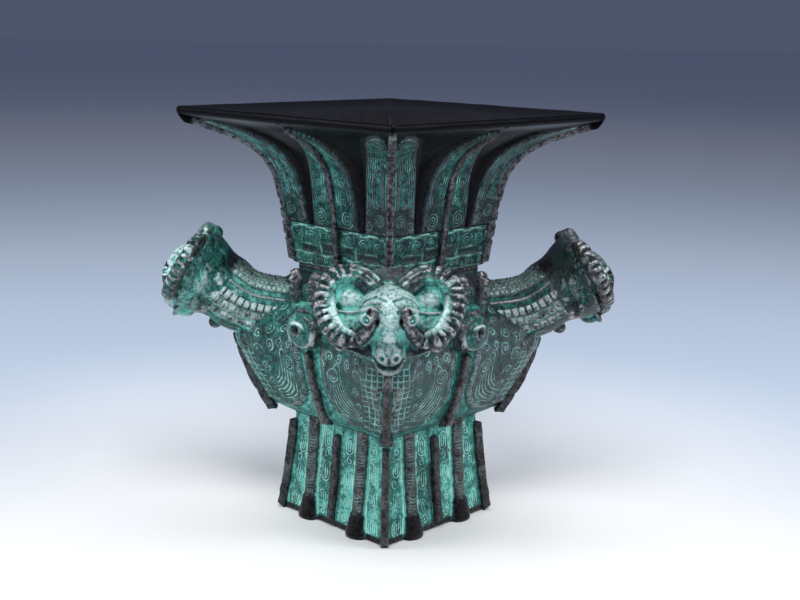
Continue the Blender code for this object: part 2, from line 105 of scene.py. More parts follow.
# Levels that follow from the sizes above
BODY_Z = FOOT_HEIGHT
SHOULDER_Z = BODY_Z + BODY_HEIGHT
NECK_Z = SHOULDER_Z + SHOULDER_HEIGHT
HEIGHT = NECK_Z + NECK_HEIGHT
RIM_Z = HEIGHT - RIM_BAND
BAND_Z = NECK_Z + BAND_HEIGHT
CORNER = math.sqrt(2)
BODY_CORNER = BODY_SIDE / 2 * CORNER

# The hollow of the body, from its mouth down: half its side, and the height
HOLLOW = np.array([[20.4, 89.5], [27.8, 83.7], [32.8, 75.6], [35.6, 68.0],
                   [34.0, 60.2], [31.8, 52.4], [28.8, 44.6], [21.1, 41.0]])

# Half the section of a flange: share of half its thickness, and share of its height
FLANGE_SECTION = ((1, -0.8), (1, 0.05), (1.02, 0.45), (0.94, 0.78), (0.78, 0.95), (0.35, 1.0))

# Mesh: columns on each side of the square, spacing of the levels, and the voxels of a figure
COLUMNS = {"neck": 104, "body": 136, "foot": 118}
STEP = 0.45
INNER_STEP = 3.0
VOXEL = 0.44
DEFAULTS = {"cell": (0, 0, 0), "carved": (0, 0, 0), "grid": (0, 0, 0), "paint": (0.5, 0.5, 0)}


def smooth(low, high, x):
    share = np.clip((x - low) / (high - low), 0, 1)
    return share * share * (3 - 2 * share)


def mix(a, b, share):
    return a + (b - a) * share


def bell(x, width):
    return np.exp(-(x / width) ** 2)


def wave(x):
    """0 at whole numbers, and 1 half way between them."""
    return 0.5 - 0.5 * np.cos(2 * math.pi * x)


def around(count):
    return np.linspace(0, 2 * math.pi, count, endpoint=False)


def rotation(angle, axis="Z"):
    return np.array(Matrix.Rotation(angle, 3, axis))


def unit(vectors):
    return vectors / np.linalg.norm(vectors, axis=1)[:, None]


def mottle(points, size, seed):
    """Smooth noise from -1 to 1, in blobs of the given size."""
    place = points / size + seed * 7.31
    cell = np.floor(place).astype(np.int64)
    share = place - cell
    share = share * share * (3 - 2 * share)
    total = np.zeros(len(points))
    for corner in itertools.product((0, 1), repeat=3):
        at = cell + np.array(corner)
        mixed = at[:, 0] * 73856093 ^ at[:, 1] * 19349663 ^ at[:, 2] * 83492791 ^ seed * 2654435
        mixed = (mixed ^ (mixed >> 13)) * 1274126177
        value = ((mixed ^ (mixed >> 16)) & 65535) / 32767.5 - 1
        total += value * np.prod(np.where(corner, share, 1 - share), axis=1)
    return total


def mottle_on(x, y, size, seed):
    """The same noise on a grid of places."""
    spots = np.stack([x.ravel(), y.ravel(), np.zeros(x.size)], 1)
    return mottle(spots, size, seed).reshape(x.shape)


class Shell:
    """A closed skin: its points in millimetres, its faces, and what is painted on its points."""

    def __init__(self, points, quads, triangles=(), **paint):
        self.points = np.asarray(points, float)
        self.quads = np.asarray(quads, int).reshape(-1, 4)
        self.triangles = np.asarray(triangles, int).reshape(-1, 3)
        self.paint = {}
        for name, value in DEFAULTS.items():
            value = np.asarray(paint.get(name, value), float)
            self.paint[name] = np.broadcast_to(value, (len(self.points), 3)).copy()

    def turned(self, degrees):
        points = self.points @ rotation(math.radians(degrees)).T
        return Shell(points, self.quads, self.triangles, **self.paint)

    def mirrored(self):
        """The same skin on the other side of the plane through +X."""
        points = self.points * np.array((1, -1, 1))
        return Shell(points, self.quads[:, ::-1], self.triangles[:, ::-1], **self.paint)

    def normals(self):
        total = np.zeros_like(self.points)
        for faces in (self.quads, self.triangles):
            if len(faces) == 0:
                continue
            p = self.points[faces]
            last = p[:, 3] if faces.shape[1] == 4 else p[:, 0]
            facing = np.cross(p[:, 2] - p[:, 0], last - p[:, 1])
            for column in range(faces.shape[1]):
                for axis in range(3):
                    total[:, axis] += np.bincount(faces[:, column], facing[:, axis], len(total))
        return total / np.maximum(np.linalg.norm(total, axis=1), 1e-12)[:, None]

    def push(self, amount):
        """Move every point along its normal."""
        self.points = self.points + self.normals() * amount[:, None]
        return self

    def relaxed(self, steps, amount=0.5):
        """The points after some rounds of moving each towards the middle of its neighbours."""
        pairs = [np.stack([f[:, i], np.roll(f, -1, axis=1)[:, i]], 1)
                 for f in (self.quads, self.triangles) for i in range(f.shape[1])]
        a, b = np.unique(np.sort(np.concatenate(pairs), axis=1), axis=0).T
        total = len(self.points)
        count = np.maximum(np.bincount(a, minlength=total) + np.bincount(b, minlength=total), 1)
        points = self.points.copy()
        for _ in range(steps):
            near = [np.bincount(a, points[b, k], total) + np.bincount(b, points[a, k], total)
                    for k in range(3)]
            points = mix(points, np.stack(near, 1) / count[:, None], amount)
        return points

    def hollowness(self, steps):
        """How far each point lies under the form around it, in millimetres."""
        return np.sum((self.relaxed(steps) - self.points) * self.normals(), axis=1)


def joined(shells):
    bases = np.cumsum([0] + [len(s.points) for s in shells])
    faces = [np.concatenate([getattr(s, kind) + base for s, base in zip(shells, bases)])
             for kind in ("quads", "triangles")]
    paint = {name: np.concatenate([s.paint[name] for s in shells]) for name in DEFAULTS}
    return Shell(np.concatenate([s.points for s in shells]), *faces, **paint)


def on_corners(shell):
    return [shell.turned(45 + 90 * i) for i in range(4)]


def on_faces(shell):
    return [shell.turned(90 * i) for i in range(4)]


def make_object(name, shell, material):
    """One mesh object from a shell, riding on the CAD body and standing for the CAD node."""
    mesh = bpy.data.meshes.new(name)
    quads, triangles = shell.quads, shell.triangles
    mesh.vertices.add(len(shell.points))
    mesh.vertices.foreach_set("co", (shell.points * METRES).ravel())
    corners = np.concatenate([quads.ravel(), triangles.ravel()])
    sizes = np.repeat((4, 3), (len(quads), len(triangles)))
    mesh.loops.add(len(corners))
    mesh.loops.foreach_set("vertex_index", corners)
    mesh.polygons.add(len(sizes))
    mesh.polygons.foreach_set("loop_start", np.cumsum(sizes) - sizes)
    mesh.polygons.foreach_set("use_smooth", np.ones(len(sizes), bool))
    mesh.update(calc_edges=True)
    form = np.stack([shell.hollowness(4), shell.hollowness(24), np.zeros(len(shell.points))], 1)
    for label, values in (*shell.paint.items(), ("form", form)):
        layer = mesh.attributes.new(label, "FLOAT_VECTOR", "POINT")
        layer.data.foreach_set("vector", values.ravel())
    mesh.materials.append(material)
    item = bpy.data.objects.new(name, mesh)
    bpy.context.scene.collection.objects.link(item)
    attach(item, "root")
    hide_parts("incense_burner")
    return item


# Lines of the section, the same as in the CAD: half the side, and the height

def neck_half_side(z):
    share = (z - NECK_Z) / (RIM_Z - NECK_Z)
    straight = NECK_SIDE / 2 + NECK_LEAN * (z - NECK_Z)
    reach = RIM_SIDE / 2 - NECK_SIDE / 2 - NECK_LEAN * (RIM_Z - NECK_Z)
    return straight + reach * np.maximum(share, 0) ** FLARE_POWER


def body_half_side(z):
    share = (z - BODY_Z) / BODY_HEIGHT
    return mix(BODY_BOTTOM_SIDE, BODY_SIDE, share) / 2 + BODY_BULGE * np.sin(math.pi * share)


def foot_half_side(z):
    share = np.clip(1 - z / FOOT_HEIGHT, 0, 1)
    return mix(WAIST_SIDE, FOOT_SIDE, share ** 1.5) / 2


def wall_half_side(z):
    """The middle of the body's wall."""
    return np.interp(z, HOLLOW[::-1, 1], HOLLOW[::-1, 0]) + WALL / 2


def line_of(half_side, low, high, count=400):
    z = np.linspace(low, high, count)
    return np.stack([half_side(z), z], 1)


def shoulder_line():
    start = np.array((NECK_SIDE / 2 - LEDGE_DEPTH, NECK_Z - LEDGE_HEIGHT))
    end = np.array((BODY_SIDE / 2, SHOULDER_Z))
    out = np.array((SHOULDER_HEIGHT, end[0] - start[0]))
    share = np.linspace(1, 0, 60)[:, None]
    swell = out / np.linalg.norm(out) * SHOULDER_BULGE * SHOULDER_HEIGHT * share * (1 - share)
    return start + (end - start) * share + swell


def lengths(line):
    return np.concatenate([[0], np.cumsum(np.linalg.norm(np.diff(line, axis=0), axis=1))])


def resampled(line, step):
    along = lengths(line)
    spots = np.linspace(0, along[-1], max(int(round(along[-1] / step)), 1) + 1)
    return np.stack([np.interp(spots, along, line[:, k]) for k in range(line.shape[1])], 1)


def outward(line):
    along = np.gradient(line, axis=0)
    along /= np.maximum(np.linalg.norm(along, axis=1), 1e-9)[:, None]
    return np.stack([along[:, 1], -along[:, 0]], 1)


def smooth_rows(table, count):
    """Rows between those of a table, on a curve through them."""
    spots = np.linspace(0, len(table) - 1, count)
    padded = np.concatenate([table[:1], table, table[-1:]])
    i = np.minimum(spots.astype(int), len(table) - 2)
    f = (spots - i)[:, None]
    a, b, c, d = padded[i], padded[i + 1], padded[i + 2], padded[i + 3]
    return b + 0.5 * f * (c - a + f * (2 * a - 5 * b + 4 * c - d + f * (3 * (b - c) + d - a)))


def line_distance(points, line):
    """Distance of each point from a line through the given spots, and how far along it is."""
    best = np.full(len(points), 1e9)
    spot = np.zeros(len(points))
    run = lengths(line)
    for k in range(len(line) - 1):
        a, way = line[k], line[k + 1] - line[k]
        share = np.clip((points - a) @ way / (way @ way), 0, 1)
        gap = np.linalg.norm(points - a - share[:, None] * way, axis=1)
        nearer = gap < best
        best = np.where(nearer, gap, best)
        spot = np.where(nearer, run[k] + share * (run[k + 1] - run[k]), spot)
    return best, spot


# Skins

def skin_faces(rows, columns, closed):
    """Faces of a grid of points that closes round its columns, and of its two caps, whose
    middles come after the grid."""
    i = np.arange(rows if closed else rows - 1)[:, None]
    j = np.arange(columns)[None, :]
    up, on = (i + 1) % rows, (j + 1) % columns
    corners = (i * columns + j, i * columns + on, up * columns + on, up * columns + j)
    quads = np.stack(corners, 2).reshape(-1, 4)
    if closed:
        return quads, []
    ring, on, top = j[0], on[0], (rows - 1) * columns
    middle = np.full(columns, rows * columns)
    low = np.stack([middle, on, ring], 1)
    high = np.stack([middle + 1, top + ring, top + on], 1)
    return quads, np.concatenate([low, high])


def square_skin(line, relief, closed, **paint):
    """A skin of square section. relief and paint are given on one side, and copied to all four."""
    rows, side = relief.shape
    away = outward(line)
    share = np.linspace(-1, 1, side, endpoint=False)[None, :]
    x = line[:, :1] + relief * away[:, :1]
    y = share * (line[:, :1] + relief[:, :1] * away[:, :1])
    z = line[:, 1:] + relief * away[:, 1:]
    points = np.stack([x, y, z], 2)
    sides = [points @ rotation(i * math.pi / 2).T for i in range(4)]
    points = np.concatenate(sides, axis=1).reshape(-1, 3)
    quads, caps = skin_faces(rows, side * 4, closed)
    if not closed:
        points = np.concatenate([points, [[0, 0, line[0, 1]], [0, 0, line[-1, 1]]]])
    spread = {}
    for name, value in paint.items():
        value = np.concatenate([value] * 4, axis=1).reshape(-1, 3)
        spread[name] = value if closed else np.concatenate([value, value[:1], value[-1:]])
    return Shell(points, quads, caps, **spread)


def tube_of(points, paint=(0.5, 0.5, 0)):
    """A closed skin through rings of points, capped at both ends."""
    quads, caps = skin_faces(*points.shape[:2], False)
    ends = np.stack([points[0].mean(0), points[-1].mean(0)])
    points = np.concatenate([points.reshape(-1, 3), ends])
    return Shell(points, quads[:, [0, 3, 2, 1]], caps[:, [0, 2, 1]], paint=paint)


def roughened(shell, size, seed, amount=0.13):
    """The unevenness of a casting, broad and fine."""
    p = shell.points
    wobble = mottle(p, size, seed) * amount + mottle(p, 2.2, seed + 1) * 0.05
    return shell.push(wobble + mottle(p, 0.9, seed + 2) * 0.035)


class Coat:
    """Paint on points: how much patina, wear, darkness (dark paint and painted shade) and paleness (chalk
    and painted highlights) each has, in that order.
    """

    def __init__(self, shape, patina, wear):
        self.layers = np.zeros((*shape, 4)) + (patina, wear, 0, 0)

    def __call__(self, mask, patina=None, wear=None, dark=None, pale=None):
        """Mix in the values that are given, where the mask is 1."""
        for k, value in enumerate((patina, wear, dark, pale)):
            if value is not None:
                self.layers[..., k] = mix(self.layers[..., k], value, np.clip(mask, 0, 1))


class Carving:
    """Engraved lines and relief on a grid of points. Every motif has its own middle, and stores
    its coordinates in steps of its lines, so that the material can draw them sharp."""

    def __init__(self, across, level):
        shape = across.shape
        self.shake = [mottle_on(across, level, 2.8, seed) * 0.26 for seed in (71, 72)]
        self.fade = smooth(-0.5, 0.35, mottle_on(across, level, 3.4, 73))
        self.relief, self.engraved, self.twist = np.zeros((3, *shape))
        self.cell, self.grid = np.zeros((2, *shape, 3))
        self.coat = Coat(shape, 0.5, 0.5)

    def motif(self, x, y, pitch, mask, length=0, twist=0):
        """Nested loops round a straight piece of the y axis, or a spiral if it has a twist."""
        chosen = mask > 0
        x, y = x + self.shake[0], y + self.shake[1]
        for k, value in enumerate((x / pitch, y / pitch, length / pitch)):
            self.cell[..., k] = np.where(chosen, value, self.cell[..., k])
        self.engraved = np.where(chosen, mask, self.engraved)
        self.twist = np.where(chosen, twist, self.twist)

    def loop(self, x, y, size, mask, length=0, twist=0):
        """A motif of the given size, cut off where it ends."""
        reach = np.hypot(x, np.maximum(np.abs(y) - length, 0))
        self.motif(x, y, LINE_PITCH, mask * inside(size - reach), length, twist)

    def spiral(self, x, y, radius, mask, pitch=SPIRAL_PITCH, twist=1):
        self.motif(x, y, pitch, mask * inside(radius - np.hypot(x, y)), 0, twist)

    def line(self, distance, width, mask):
        """One line where the distance is nought."""
        near = np.abs(distance) < width * 0.9
        self.motif(np.full_like(distance, width / 2) - self.shake[0], distance, width, mask * near)

    def ladder(self, across, along, mask):
        """Crossing lines where either coordinate is a whole number and a half."""
        for k, value in enumerate((across, along, mask)):
            self.grid[..., k] = np.where(mask > 0, value, self.grid[..., k])
        self.engraved = self.engraved * (1 - np.clip(mask, 0, 1))

    def cut(self, depth):
        """Sink the engraved lines into the relief."""
        self.engraved = self.engraved * mix(0.35, 1, self.fade)
        x, y, length = np.moveaxis(self.cell, -1, 0)
        beyond = np.sign(y) * np.maximum(np.abs(y) - length, 0)
        phase = np.hypot(x, beyond) + self.twist * np.arctan2(beyond, x) / (2 * math.pi)
        self.relief -= depth * self.engraved * wave(phase) ** 2
        u, v, mask = np.moveaxis(self.grid, -1, 0)
        self.relief -= depth * mask * np.maximum(wave(u), wave(v)) ** 3
        return self

    def skin(self, line, closed):
        carved = np.stack([self.engraved, self.twist, self.coat.layers[..., 3]], -1)
        return square_skin(line, self.relief, closed, cell=self.cell, carved=carved,
                           grid=self.grid, paint=self.coat.layers[..., :3])


def inside(*limits):
    """1 well inside all the limits (each a depth in millimetres), 0 outside any of them."""
    return np.prod([smooth(0.05, 0.35, limit) for limit in limits], axis=0)


def side_grid(line, columns):
    """On one side of a skin: half its width, the height, the place across it, and how far that
    is from the side's middle and from its edge."""
    half = line[:, :1]
    share = np.linspace(-1, 1, columns, endpoint=False)[None, :]
    t = share * half
    return half, line[:, 1:] + share * 0, t, np.abs(t), half - np.abs(t)


# The vessel: neck, body and foot

def neck_carving(line, outer_rows):
    """Leaves, and the band under them, on one side of the neck."""
    half, z, t, a, e = side_grid(line, COLUMNS["neck"])
    along = lengths(line)

    def s_of(level):
        return np.interp(level, line[:outer_rows, 1], along[:outer_rows])

    s = (along - s_of(BAND_Z))[:, None] + t * 0
    outer = (np.arange(len(line)) < outer_rows)[:, None]
    art = Carving(a, s)
    coat = art.coat
    coat(1, 0, 0, 1)
    within = (1 - outer) * smooth(HEIGHT - 1, HEIGHT - 3, z) * (half < RIM_SIDE / 2 - 3)
    coat(within, 0.2, dark=0.8)

    # the wall turns outwards up there, so a leaf's rounded top is drawn out along it
    top = s_of(BAND_Z + CORNER_LEAF_HEIGHT) - s_of(BAND_Z)
    radius = CORNER_LEAF_WIDTH / 2 - 0.6
    middle = CORNER_LEAF_WIDTH - radius + 0.2
    bend = top - LEAF_STRETCH * radius
    rise = np.where(s < bend, s, bend + (s - bend) / LEAF_STRETCH)
    round_top = radius - np.hypot(e - middle, rise - bend)
    corner_leaf = np.minimum(np.where(s < bend, CORNER_LEAF_WIDTH + 0.2 - e, round_top), s) * outer
    reach = s_of(RIM_Z - 1.0) - s_of(BAND_Z)
    width = FACE_LEAF_WIDTH * (1 - np.clip(s / reach, 0, 1) ** 2.4) + 0.4
    face_leaf = np.minimum(width - a, s) * outer
    leaf = np.maximum(corner_leaf, face_leaf)
    art.relief = LEAF_RELIEF * smooth(0, 1.1, leaf)
    art.relief -= 0.9 * smooth(0, 3, -leaf) * smooth(0, 2, s) * smooth(reach, reach - 12, s) * outer
    # the gaps between the leaves are dark: dark paint, with painted shade in the deep gaps
    coat(outer * smooth(3, 0.3, -leaf) * smooth(0, 2, s), 0.1, dark=0.9)
    coat(smooth(0, 0.6, corner_leaf), 0.72, 0.12, 0.3)
    coat(smooth(0, 0.6, face_leaf), 0.66, 0.12, 0.32)
    # a painted highlight: a brighter, greener strip on the face leaf each side of its middle
    painted_highlight = smooth(1.2, 2, a) * smooth(6.5, 3, a) * smooth(6, 12, s)
    coat(smooth(0, 0.4, face_leaf) * painted_highlight, 0.85, dark=0.2)
    coat(smooth(0, 0.4, corner_leaf) * smooth(14, 7, s), 0.45, 0.35)

    on_leaf = inside(corner_leaf - 0.4)
    low = 9.5
    art.motif(e - middle, rise - (low + bend) / 2, 1.0, on_leaf * inside(s - low), (bend - low) / 2)
    for x, y, size in ((e - 4.9, s - 5.6, 2.6), (9.6 - e, s - 3.6, 2.0), (e - 9.3, s - 8, 1.8)):
        art.spiral(x, y, size, on_leaf, FINE_PITCH)
    tongue = np.hypot(e - 5.4, np.maximum(np.abs(s - 17.2) - 5.2, 0)) - 1.75
    on_leaf = corner_leaf > 0
    art.relief += 0.4 * bell(tongue, 0.45) * smooth(0.4, 0, tongue) ** 0.2 * on_leaf
    coat(bell(tongue, 0.55) * on_leaf, 0.12, 0.55)
    coat(smooth(-0.3, -0.7, tongue) * on_leaf, 0.9, 0)
    art.engraved *= 1 - smooth(0.5, 0.2, tongue)

    on_leaf = smooth(0.8, 1.5, face_leaf)
    x = a - (width + FLANGE_THICKNESS / 2) / 2
    loops = on_leaf * 0.9 * smooth(0.9, 1.8, np.abs(x)) * inside(s - 8.8)
    art.motif(x, s - (9.5 + reach - 6) / 2, LINE_PITCH, loops, (reach - 6 - 13.5) / 2)
    for k in range(7):
        way = (-1) ** k
        faint = on_leaf * (0.8 - 0.08 * k)
        art.spiral(way * x + 0.5, s - 16.5 - 4.1 * k, 1.9, faint, FINE_PITCH, way)
    art.spiral(x, s - 4.4, 3.4, on_leaf, LINE_PITCH)
    art.spiral(x + 1.4, s - 10.4, 1.8, on_leaf, FINE_PITCH)

    gap = FLANGE_THICKNESS / 2 + 0.2
    band = inside(e - gap, a - gap) * (s < -0.2) * outer
    art.relief += BAND_RELIEF * smooth(0, 0.4, -s) * smooth(NECK_Z - 0.1, NECK_Z + 0.5, z) * outer
    coat((s < 0) * outer, 0.78, 0.15, 0.28)
    for cx, cz, size, pitch in (
            (5.4, 105.4, 2.7, 1.15), (-12.4, 105, 2.8, 1.15), (19.4, 106.4, 1.8, 0.95),
            (17.4, 97.4, 1.3, 0.9), (3.4, 97.3, 1.5, 0.95), (-6.4, 96.9, 1.3, 0.9),
            (9.4, 97.3, 1.4, 0.95), (-12.4, 96.9, 1.4, 0.9), (20.6, 97, 1.4, 0.95),
            (14.9, 97.6, 1.2, 0.9), (3, 101.1, 1, 0.9), (-21.6, 103.4, 1.1, 0.9)):
        art.spiral(math.copysign(1, cx) * (e - abs(cx)), z - cz, size, band, pitch)
    for level, low, high in ((108.9, 2.4, 23), (102.5, 5.2, 15), (99.2, 1.8, 24), (95.2, 1.6, 24),
                             (104.2, 16.8, 24)):
        slope = 0.25 * np.sin(e * 0.7 + level)
        art.line(z - level - slope, LINE_WIDTH, band * inside(e - low, high - e))
    for place, low, high in ((2.2, 103.4, 108.2), (15.9, 99.6, 105.4), (16.9, 104.6, 108.6),
                             (23.4, 96, 103)):
        art.line(e - place, LINE_WIDTH, band * inside(z - low, high - z))
    curve = 105 + 2.2 * np.sin((e - 8.9) * 1.1)
    art.line(z - curve, LINE_WIDTH, band * inside(1.3 - np.abs(e - 8.9)))
    for low, high, bottom, ceiling in ((4.6, 14.4, 100, 101.9), (17.6, 22.6, 100.6, 103.4)):
        bar = inside(e - low, high - e, z - bottom, ceiling - z) * band
        art.relief -= 0.4 * bar
        coat(bar, 0.12, dark=0.25)
        art.engraved *= 1 - bar
    return art.cut(0.2)


def neck_shell():
    ledge, edge = NECK_SIDE / 2 - LEDGE_DEPTH, RIM_SIDE / 2
    start = [[ledge - 0.4, NECK_Z - 1.6], [ledge - 0.4, NECK_Z - 0.1]]
    outside = resampled(line_of(neck_half_side, NECK_Z, RIM_Z - 0.1), STEP)
    rim = np.array(((0.15, -2.6), (0.25, -1.8), (0.2, -0.9), (0, -0.35), (-0.4, -0.05), (-1.1, 0),
                    (-1.7, -0.15), (-2.4, -0.5))) + (edge, HEIGHT)
    within = resampled(line_of(neck_half_side, NECK_Z, RIM_Z), 2.4)
    within = within - outward(within) * WALL
    within = within[(within[:, 0] < edge - 4) & (within[:, 1] < HEIGHT - 1)][::-1]
    line = np.concatenate([start, outside, rim, within, [[ledge - WALL + 0.4, NECK_Z - 1.6]]])
    shell = neck_carving(line, len(start) + len(outside)).skin(line, True)
    rough = smooth(RIM_Z - 0.5, RIM_Z - 4, shell.points[:, 2])
    wobble = mottle(shell.points, 9.0, 3) * 0.12 + mottle(shell.points, 2.2, 4) * 0.05 * rough
    return shell.push(wobble)


def body_carving(line):
    """Valleys and swelling flanks, with their lines, on one side of the body."""
    half, z, _, a, e = side_grid(line, COLUMNS["body"])
    out = (np.gradient(line[:, 1]) >= 0)[:, None] * (half > 22.5)
    art = Carving(a, z)
    coat = art.coat
    coat(1, 0, 0.1, 0.9)
    coat(out, 0.5, 0.25, 0.1)
    level = np.clip((z - BODY_Z - WAIST_STEP) / (BODY_HEIGHT - WAIST_STEP), 0, 1)
    # each flank swells like a breast, with its lower corner next to the valley rounded off
    corner = 15.0
    beside = a - VALLEY_WIDTH / 2 * mix(1, 1.5, level)
    above = (z - BODY_Z - WAIST_STEP - 0.4) * 1.1
    rounded = corner - np.hypot(np.maximum(corner - beside, 0), np.maximum(corner - above, 0))
    in_corner = (beside < corner) & (above < corner)
    flank = np.where(in_corner, rounded, np.minimum(beside, above))
    flank = np.minimum(flank, (SHOULDER_Z + 12 - z) * 0.6) * out
    groove = smooth(FLANGE_THICKNESS / 2 + 0.1, FLANGE_THICKNESS / 2 + 1.6, e)
    art.relief += FLANK_RELIEF * smooth(-0.4, 2.6, flank) * mix(0.4, 1, groove)
    art.relief += 2.6 * smooth(47, 67, z) * smooth(84, 70, z) * smooth(24, 6, e) * groove * out
    coat(smooth(-0.2, 1.4, flank), 0.3, 0.35, 0)
    coat(out * smooth(1.2, -0.6, flank) * (z < SHOULDER_Z + 2), 0.88, 0.05)
    coat(smooth(0, 1, flank) * smooth(7, 3.5, e), 0.4)

    # long loops from the valley up to the horn, spirals round them, and a ladder at the corner
    carved = inside(flank - 0.8, SHOULDER_Z + 7 - z)
    head, tail = np.array((25.5, 60.5)), np.array((14.5, 48.0))
    reach = np.linalg.norm(head - tail) / 2
    way = (head - tail) / reach / 2
    dx, dz = e - (head[0] + tail[0]) / 2, z - (head[1] + tail[1]) / 2
    y = dx * way[0] + dz * way[1]
    x = dx * way[1] - dz * way[0] + 0.045 * y ** 2 - 1.6
    loop = np.hypot(x, np.maximum(np.abs(y) - reach, 0))
    art.motif(x, y, 1.3, 0.9 * carved * inside(4.8 - loop, e - 10.6), reach)
    for cx, cz, radius, twist in (
            (25.4, 61.6, 3.5, 1), (12.6, 64.4, 2.8, -1), (17.8, 67, 2.4, 1), (13, 58.6, 2.2, 1),
            (31.4, 65, 2.5, 1), (28.6, 52.5, 2.6, -1), (22.6, 68.4, 2, -1), (30, 58.2, 2, 1),
            (24.6, 48, 2.4, 1), (12.6, 53, 1.8, -1), (19.8, 46, 2, 1), (33.6, 60.6, 1.6, 1),
            (31.8, 54.6, 1.6, -1), (27.4, 68.2, 2.2, 1), (32.4, 70.2, 1.9, -1), (12.4, 69.6, 2, 1),
            (28.6, 47.4, 1.6, 1), (16.6, 72, 2.2, -1), (22.4, 72.8, 1.9, 1), (8.6, 71.2, 1.8, -1)):
        art.spiral(e - cx, z - cz, radius, carved, twist=twist)
    column = inside(e - 1.7, 10.3 - e, z - 43.5, 68.5 - z) * carved
    strength = mix(0.4, 1, art.fade) * mix(1, 0.6, np.clip(e / 10, 0, 1))
    art.ladder(*rungs(e, z, *art.shake), column * strength)

    shoulder = inside(z - SHOULDER_Z - 6, NECK_Z - LEDGE_HEIGHT - 1 - z) * out
    for cx, cz, radius, twist in (
            (12.5, 87.5, 2.4, 1), (14, 81.5, 2.4, -1), (10.5, 77, 1.9, 1), (16.5, 76.4, 1.8, -1),
            (18, 85, 1.8, 1), (8.5, 84, 1.8, -1), (19, 80, 1.7, 1)):
        art.spiral(a - cx, z - cz, radius, shoulder, twist=twist)
    rise = z - SHOULDER_Z
    coat(out * smooth(5, 11, rise), 0.52, 0.3)
    coat(out * smooth(9.5, 6.5, a) * smooth(3, 8, rise), 0.9, 0.1)
    coat(out * smooth(16, 22, rise), 0.32, 0.3, 0.25)
    coat(out * smooth(-1.2, 0, z - NECK_Z + LEDGE_HEIGHT), 0.18, 0.3, 0.3)
    return art.cut(0.25)


def rungs(e, z, sideways=0, upwards=0):
    """The coordinates of the ladder beside a corner flange."""
    x = e - LADDER_START
    bend = 0.35 * np.abs(x % RUNG_WIDTH - RUNG_WIDTH / 2) + upwards * 1.5
    return (x + sideways) / RUNG_WIDTH + 0.5, (z - bend) / RUNG_HEIGHT


def body_shell():
    foot, ledge, edge = WAIST_SIDE / 2, NECK_SIDE / 2 - LEDGE_DEPTH, BODY_Z + WAIST_STEP
    low = [[foot - WALL - 0.4, BODY_Z - 0.2], [foot + 0.1, BODY_Z - 0.2]]
    under = resampled(np.array([[foot + 0.3, BODY_Z], [body_half_side(edge), edge]]), STEP)
    side = resampled(line_of(body_half_side, edge + 0.4, SHOULDER_Z - 0.2), STEP)
    bend = np.concatenate([side, resampled(shoulder_line(), 0.6)])
    for _ in range(40):
        near = bell(bend[1:-1, 1:] - SHOULDER_Z, 5.0) * 0.5
        bend[1:-1] = mix(bend[1:-1], (bend[:-2] + bend[2:]) / 2, near)
    top = [[ledge, NECK_Z - 1.2], [ledge, NECK_Z + 0.1], [ledge - 0.9, NECK_Z + 0.2],
           [ledge - WALL, NECK_Z + 0.1]]
    line = np.concatenate([low, under, bend, top, resampled(HOLLOW, INNER_STEP)])
    return roughened(body_carving(line).skin(line, False), 8.0, 5)


def foot_carving(line, outer_rows):
    """Legs with hooves, and the panels between them, on one side of the foot."""
    _, z, t, a, e = side_grid(line, COLUMNS["foot"])
    out = (np.arange(len(line)) < outer_rows)[:, None] * np.ones(z.shape)
    art = Carving(a, z)
    coat = art.coat
    coat(1, 0, 0.1, 1)
    coat(out, 0.9 + 0.45 * mottle_on(t, z, 7.0, 81), 0.15, 0)
    coat(out * smooth(30, 37, z), 1)
    coat(out * smooth(2.8, 1.9, z), 0.08, 0.2, 0.6)

    x = a - (WAIST_SIDE + FOOT_SIDE) / 8
    hoof = smooth(HOOF_HEIGHT + 0.3, HOOF_HEIGHT - 0.3, z)
    level = np.clip(z / HOOF_HEIGHT, 0, 1)
    width = mix(LEG_WIDTH, mix(HOOF_WIDTH, LEG_WIDTH + 0.8, level), hoof) / 2
    height = mix(LEG_RELIEF + 0.5, mix(HOOF_RELIEF, LEG_RELIEF + 0.9, level), hoof)
    beside = np.abs(x) / width
    art.relief += height * np.sqrt(np.clip(1 - beside ** 2, 0, 1)) * out
    on_leg = out * smooth(1.05, 0.92, beside)
    coat(out * bell(beside - 1.15, 0.15), 1)
    coat(on_leg, 0.25, 0.3, 0.25)
    coat(on_leg * hoof, 0.1, 0.12, 0.75)
    art.relief += 0.35 * out * bell(a - FLANGE_THICKNESS / 2 - 1, 0.5) * (z > 2.4)

    panel = inside(np.abs(x) - width - 0.2, z - 2.4, 36.5 - z) * out
    for across, within, motifs in (
            (e - 5.3, inside(e - 1.6) * (x > 0),
             ((5.2, 1, 0, 0.4, 2.3), (10.2, 0.2, 1, -0.8, 1.8), (15.4, 2, 0, 0.6, 2),
              (21.2, 0.3, -1, -0.5, 1.7), (26.6, 1.6, 0, 0.3, 2.2), (32.6, 0.2, 1, 0.6, 2))),
            (a - 5.6, inside(a - 1.6) * (x < 0),
             ((4.6, 0.2, 1, 0.3, 2), (9.4, 1.2, 0, 0.8, 2), (14.2, 0.2, -1, -0.9, 1.4),
              (19.6, 2.2, 0, 0.2, 2.2), (26, 0.2, 1, 0.7, 1.8), (31.4, 1.6, 0, 0, 2.2)))):
        for up, length, twist, off, size in motifs:
            art.loop(across - off, z - up, size, panel * within, length, twist)
    for edge in (width + 0.7, width + 1.6):
        drift = 0.35 * np.sin(z * 0.45 + edge)
        art.line(np.abs(x) - edge - drift, 0.8, 0.8 * panel * (art.engraved == 0))
    for low, high in ((9.6, 15.5), (18, 24.5), (26, 36.5)):
        marks = inside(z - low, high - z) * on_leg * (beside < 0.8)
        art.motif(x, z - high - 1.5, LINE_PITCH, marks)
    return art.cut(0.22)


